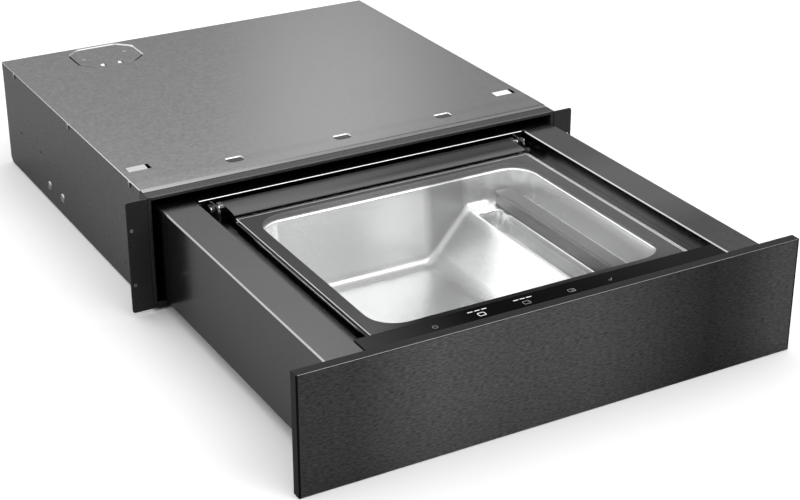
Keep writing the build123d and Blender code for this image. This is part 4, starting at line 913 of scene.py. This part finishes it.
# ------------------------------------------------------------------- floor
floor_mat = Mat("floor")
floor_mat.set(rough=0.9, spec=0.0)
fa = floor_mat.noise(freq=3.0, detail=2.0)
pale = floor_mat.ramp(fa, [(0.3, (0.86, 0.86, 0.86)), (0.7, (0.88, 0.88, 0.88))])
lp = floor_mat.new("ShaderNodeLightPath")
floor_mat.color(floor_mat.mix(lp.outputs["Is Camera Ray"], (0.27, 0.27, 0.27), pale))
floor = mesh_object("floor", [(-12, -12, 0), (12, -12, 0), (12, 12, 0), (-12, 12, 0)], [(0, 1, 2, 3)], floor_mat.m, smooth=False)

# ------------------------------------------------------------------- light
world = bpy.data.worlds.new("studio")
bpy.context.scene.world = world
world.use_nodes = True
wt = world.node_tree
bg = wt.nodes["Background"]


def wnode(kind, **props):
    n = wt.nodes.new(kind)
    for k, v in props.items():
        setattr(n, k, v)
    return n


def wmath(op, a, b=0.0):
    n = wnode("ShaderNodeMath", operation=op)
    for i, v in enumerate((a, b)):
        if isinstance(v, (int, float)):
            n.inputs[i].default_value = v
        else:
            wt.links.new(v, n.inputs[i])
    return n.outputs[0]


def wspan(v, a, b, c, d):
    n = wnode("ShaderNodeMapRange", interpolation_type="SMOOTHSTEP")
    for k, val in (("From Min", a), ("From Max", b), ("To Min", c), ("To Max", d)):
        n.inputs[k].default_value = val
    wt.links.new(v, n.inputs["Value"])
    return n.outputs["Result"]


tc = wnode("ShaderNodeTexCoord")
nrm = wnode("ShaderNodeVectorMath", operation="NORMALIZE")
wt.links.new(tc.outputs["Generated"], nrm.inputs[0])
sep = wnode("ShaderNodeSeparateXYZ")
wt.links.new(nrm.outputs["Vector"], sep.inputs["Vector"])


def lobe(az, el, inner, outer, gain):
    """Soft box seen in one direction: azimuth from +Y towards +X, elevation, both in degrees."""
    a, e = math.radians(az), math.radians(el)
    d = wnode("ShaderNodeVectorMath", operation="DOT_PRODUCT")
    wt.links.new(nrm.outputs["Vector"], d.inputs[0])
    d.inputs[1].default_value = (math.sin(a) * math.cos(e), math.cos(a) * math.cos(e), math.sin(e))
    return wspan(d.outputs["Value"], math.cos(math.radians(outer)), math.cos(math.radians(inner)), 0.0, gain)


rp = wnode("ShaderNodeValToRGB")
wt.links.new(sep.outputs["Z"], rp.inputs["Fac"])
stops = [(0.0, 0.22), (0.30, 0.38), (0.38, 0.50), (0.42, 0.54), (0.45, 0.74), (0.48, 1.12), (0.56, 1.30), (0.74, 1.55), (0.86, 1.35), (1.0, 1.15)]
els = rp.color_ramp.elements
for i, (pos, v) in enumerate(stops):
    e = els[i] if i < 2 else els.new(pos)
    e.position, e.color = pos, (v / 2, v / 2, v / 2, 1)
sky = wmath("MULTIPLY", rp.outputs["Color"], 2.0)
sky = wmath("ADD", sky, lobe(-29, 27, 6, 14, 1.5))
sky = wmath("ADD", sky, lobe(27.3, 21, 0.5, 4.2, 0.60))
sky = wmath("ADD", sky, lobe(152, 42, 8, 24, 2.9))
sky = wmath("ADD", sky, lobe(33.0, 29.6, 1.6, 4.4, -1.3))
sky = wmath("ADD", sky, lobe(37.5, 28.6, 1.2, 3.6, -1.0))
sky = wmath("ADD", sky, lobe(44, 26.5, 2, 5.5, -0.35))
sky = wmath("MAXIMUM", sky, 0.06)
lpw = wnode("ShaderNodeLightPath")
seen = wnode("ShaderNodeMix", data_type="FLOAT")
wt.links.new(lpw.outputs["Is Camera Ray"], seen.inputs[0])
wt.links.new(sky, seen.inputs[2])
seen.inputs[3].default_value = 1.0
wt.links.new(seen.outputs[0], bg.inputs["Strength"])
bg.inputs["Color"].default_value = (1, 1, 1, 1)


def area(name, loc, target, size, power):
    la = bpy.data.lights.new(name, "AREA")
    la.shape = "RECTANGLE"
    la.size, la.size_y = size
    la.energy = power
    ob = bpy.data.objects.new(name, la)
    ob.location = loc
    ob.rotation_euler = (Vector(target) - Vector(loc)).to_track_quat("-Z", "Y").to_euler()
    bpy.context.scene.collection.objects.link(ob)
    return ob


area("top_softbox", (-0.3, 0.1, 3.4), (0, 0, 0), (2.4, 2.4), 12.0)

# ------------------------------------------------------------------ camera
cam_data = bpy.data.cameras.new("camera")
cam_data.sensor_fit = "HORIZONTAL"
cam_data.sensor_width = 36.0
cam_data.lens = 80.415
cam_data.clip_end = 60.0
cam = bpy.data.objects.new("camera", cam_data)
bpy.context.scene.collection.objects.link(cam)
cam.matrix_world = Matrix.Translation((-0.9083, -1.7456, 0.9412)) @ Matrix.Rotation(math.radians(-29.37), 4, "Z") @ Matrix.Rotation(math.radians(64.34), 4, "X") @ Matrix.Rotation(math.radians(-0.08), 4, "Z")
bpy.context.scene.camera = cam
bpy.context.scene.view_settings.view_transform = "Standard"
bpy.context.scene.view_settings.look = "None"
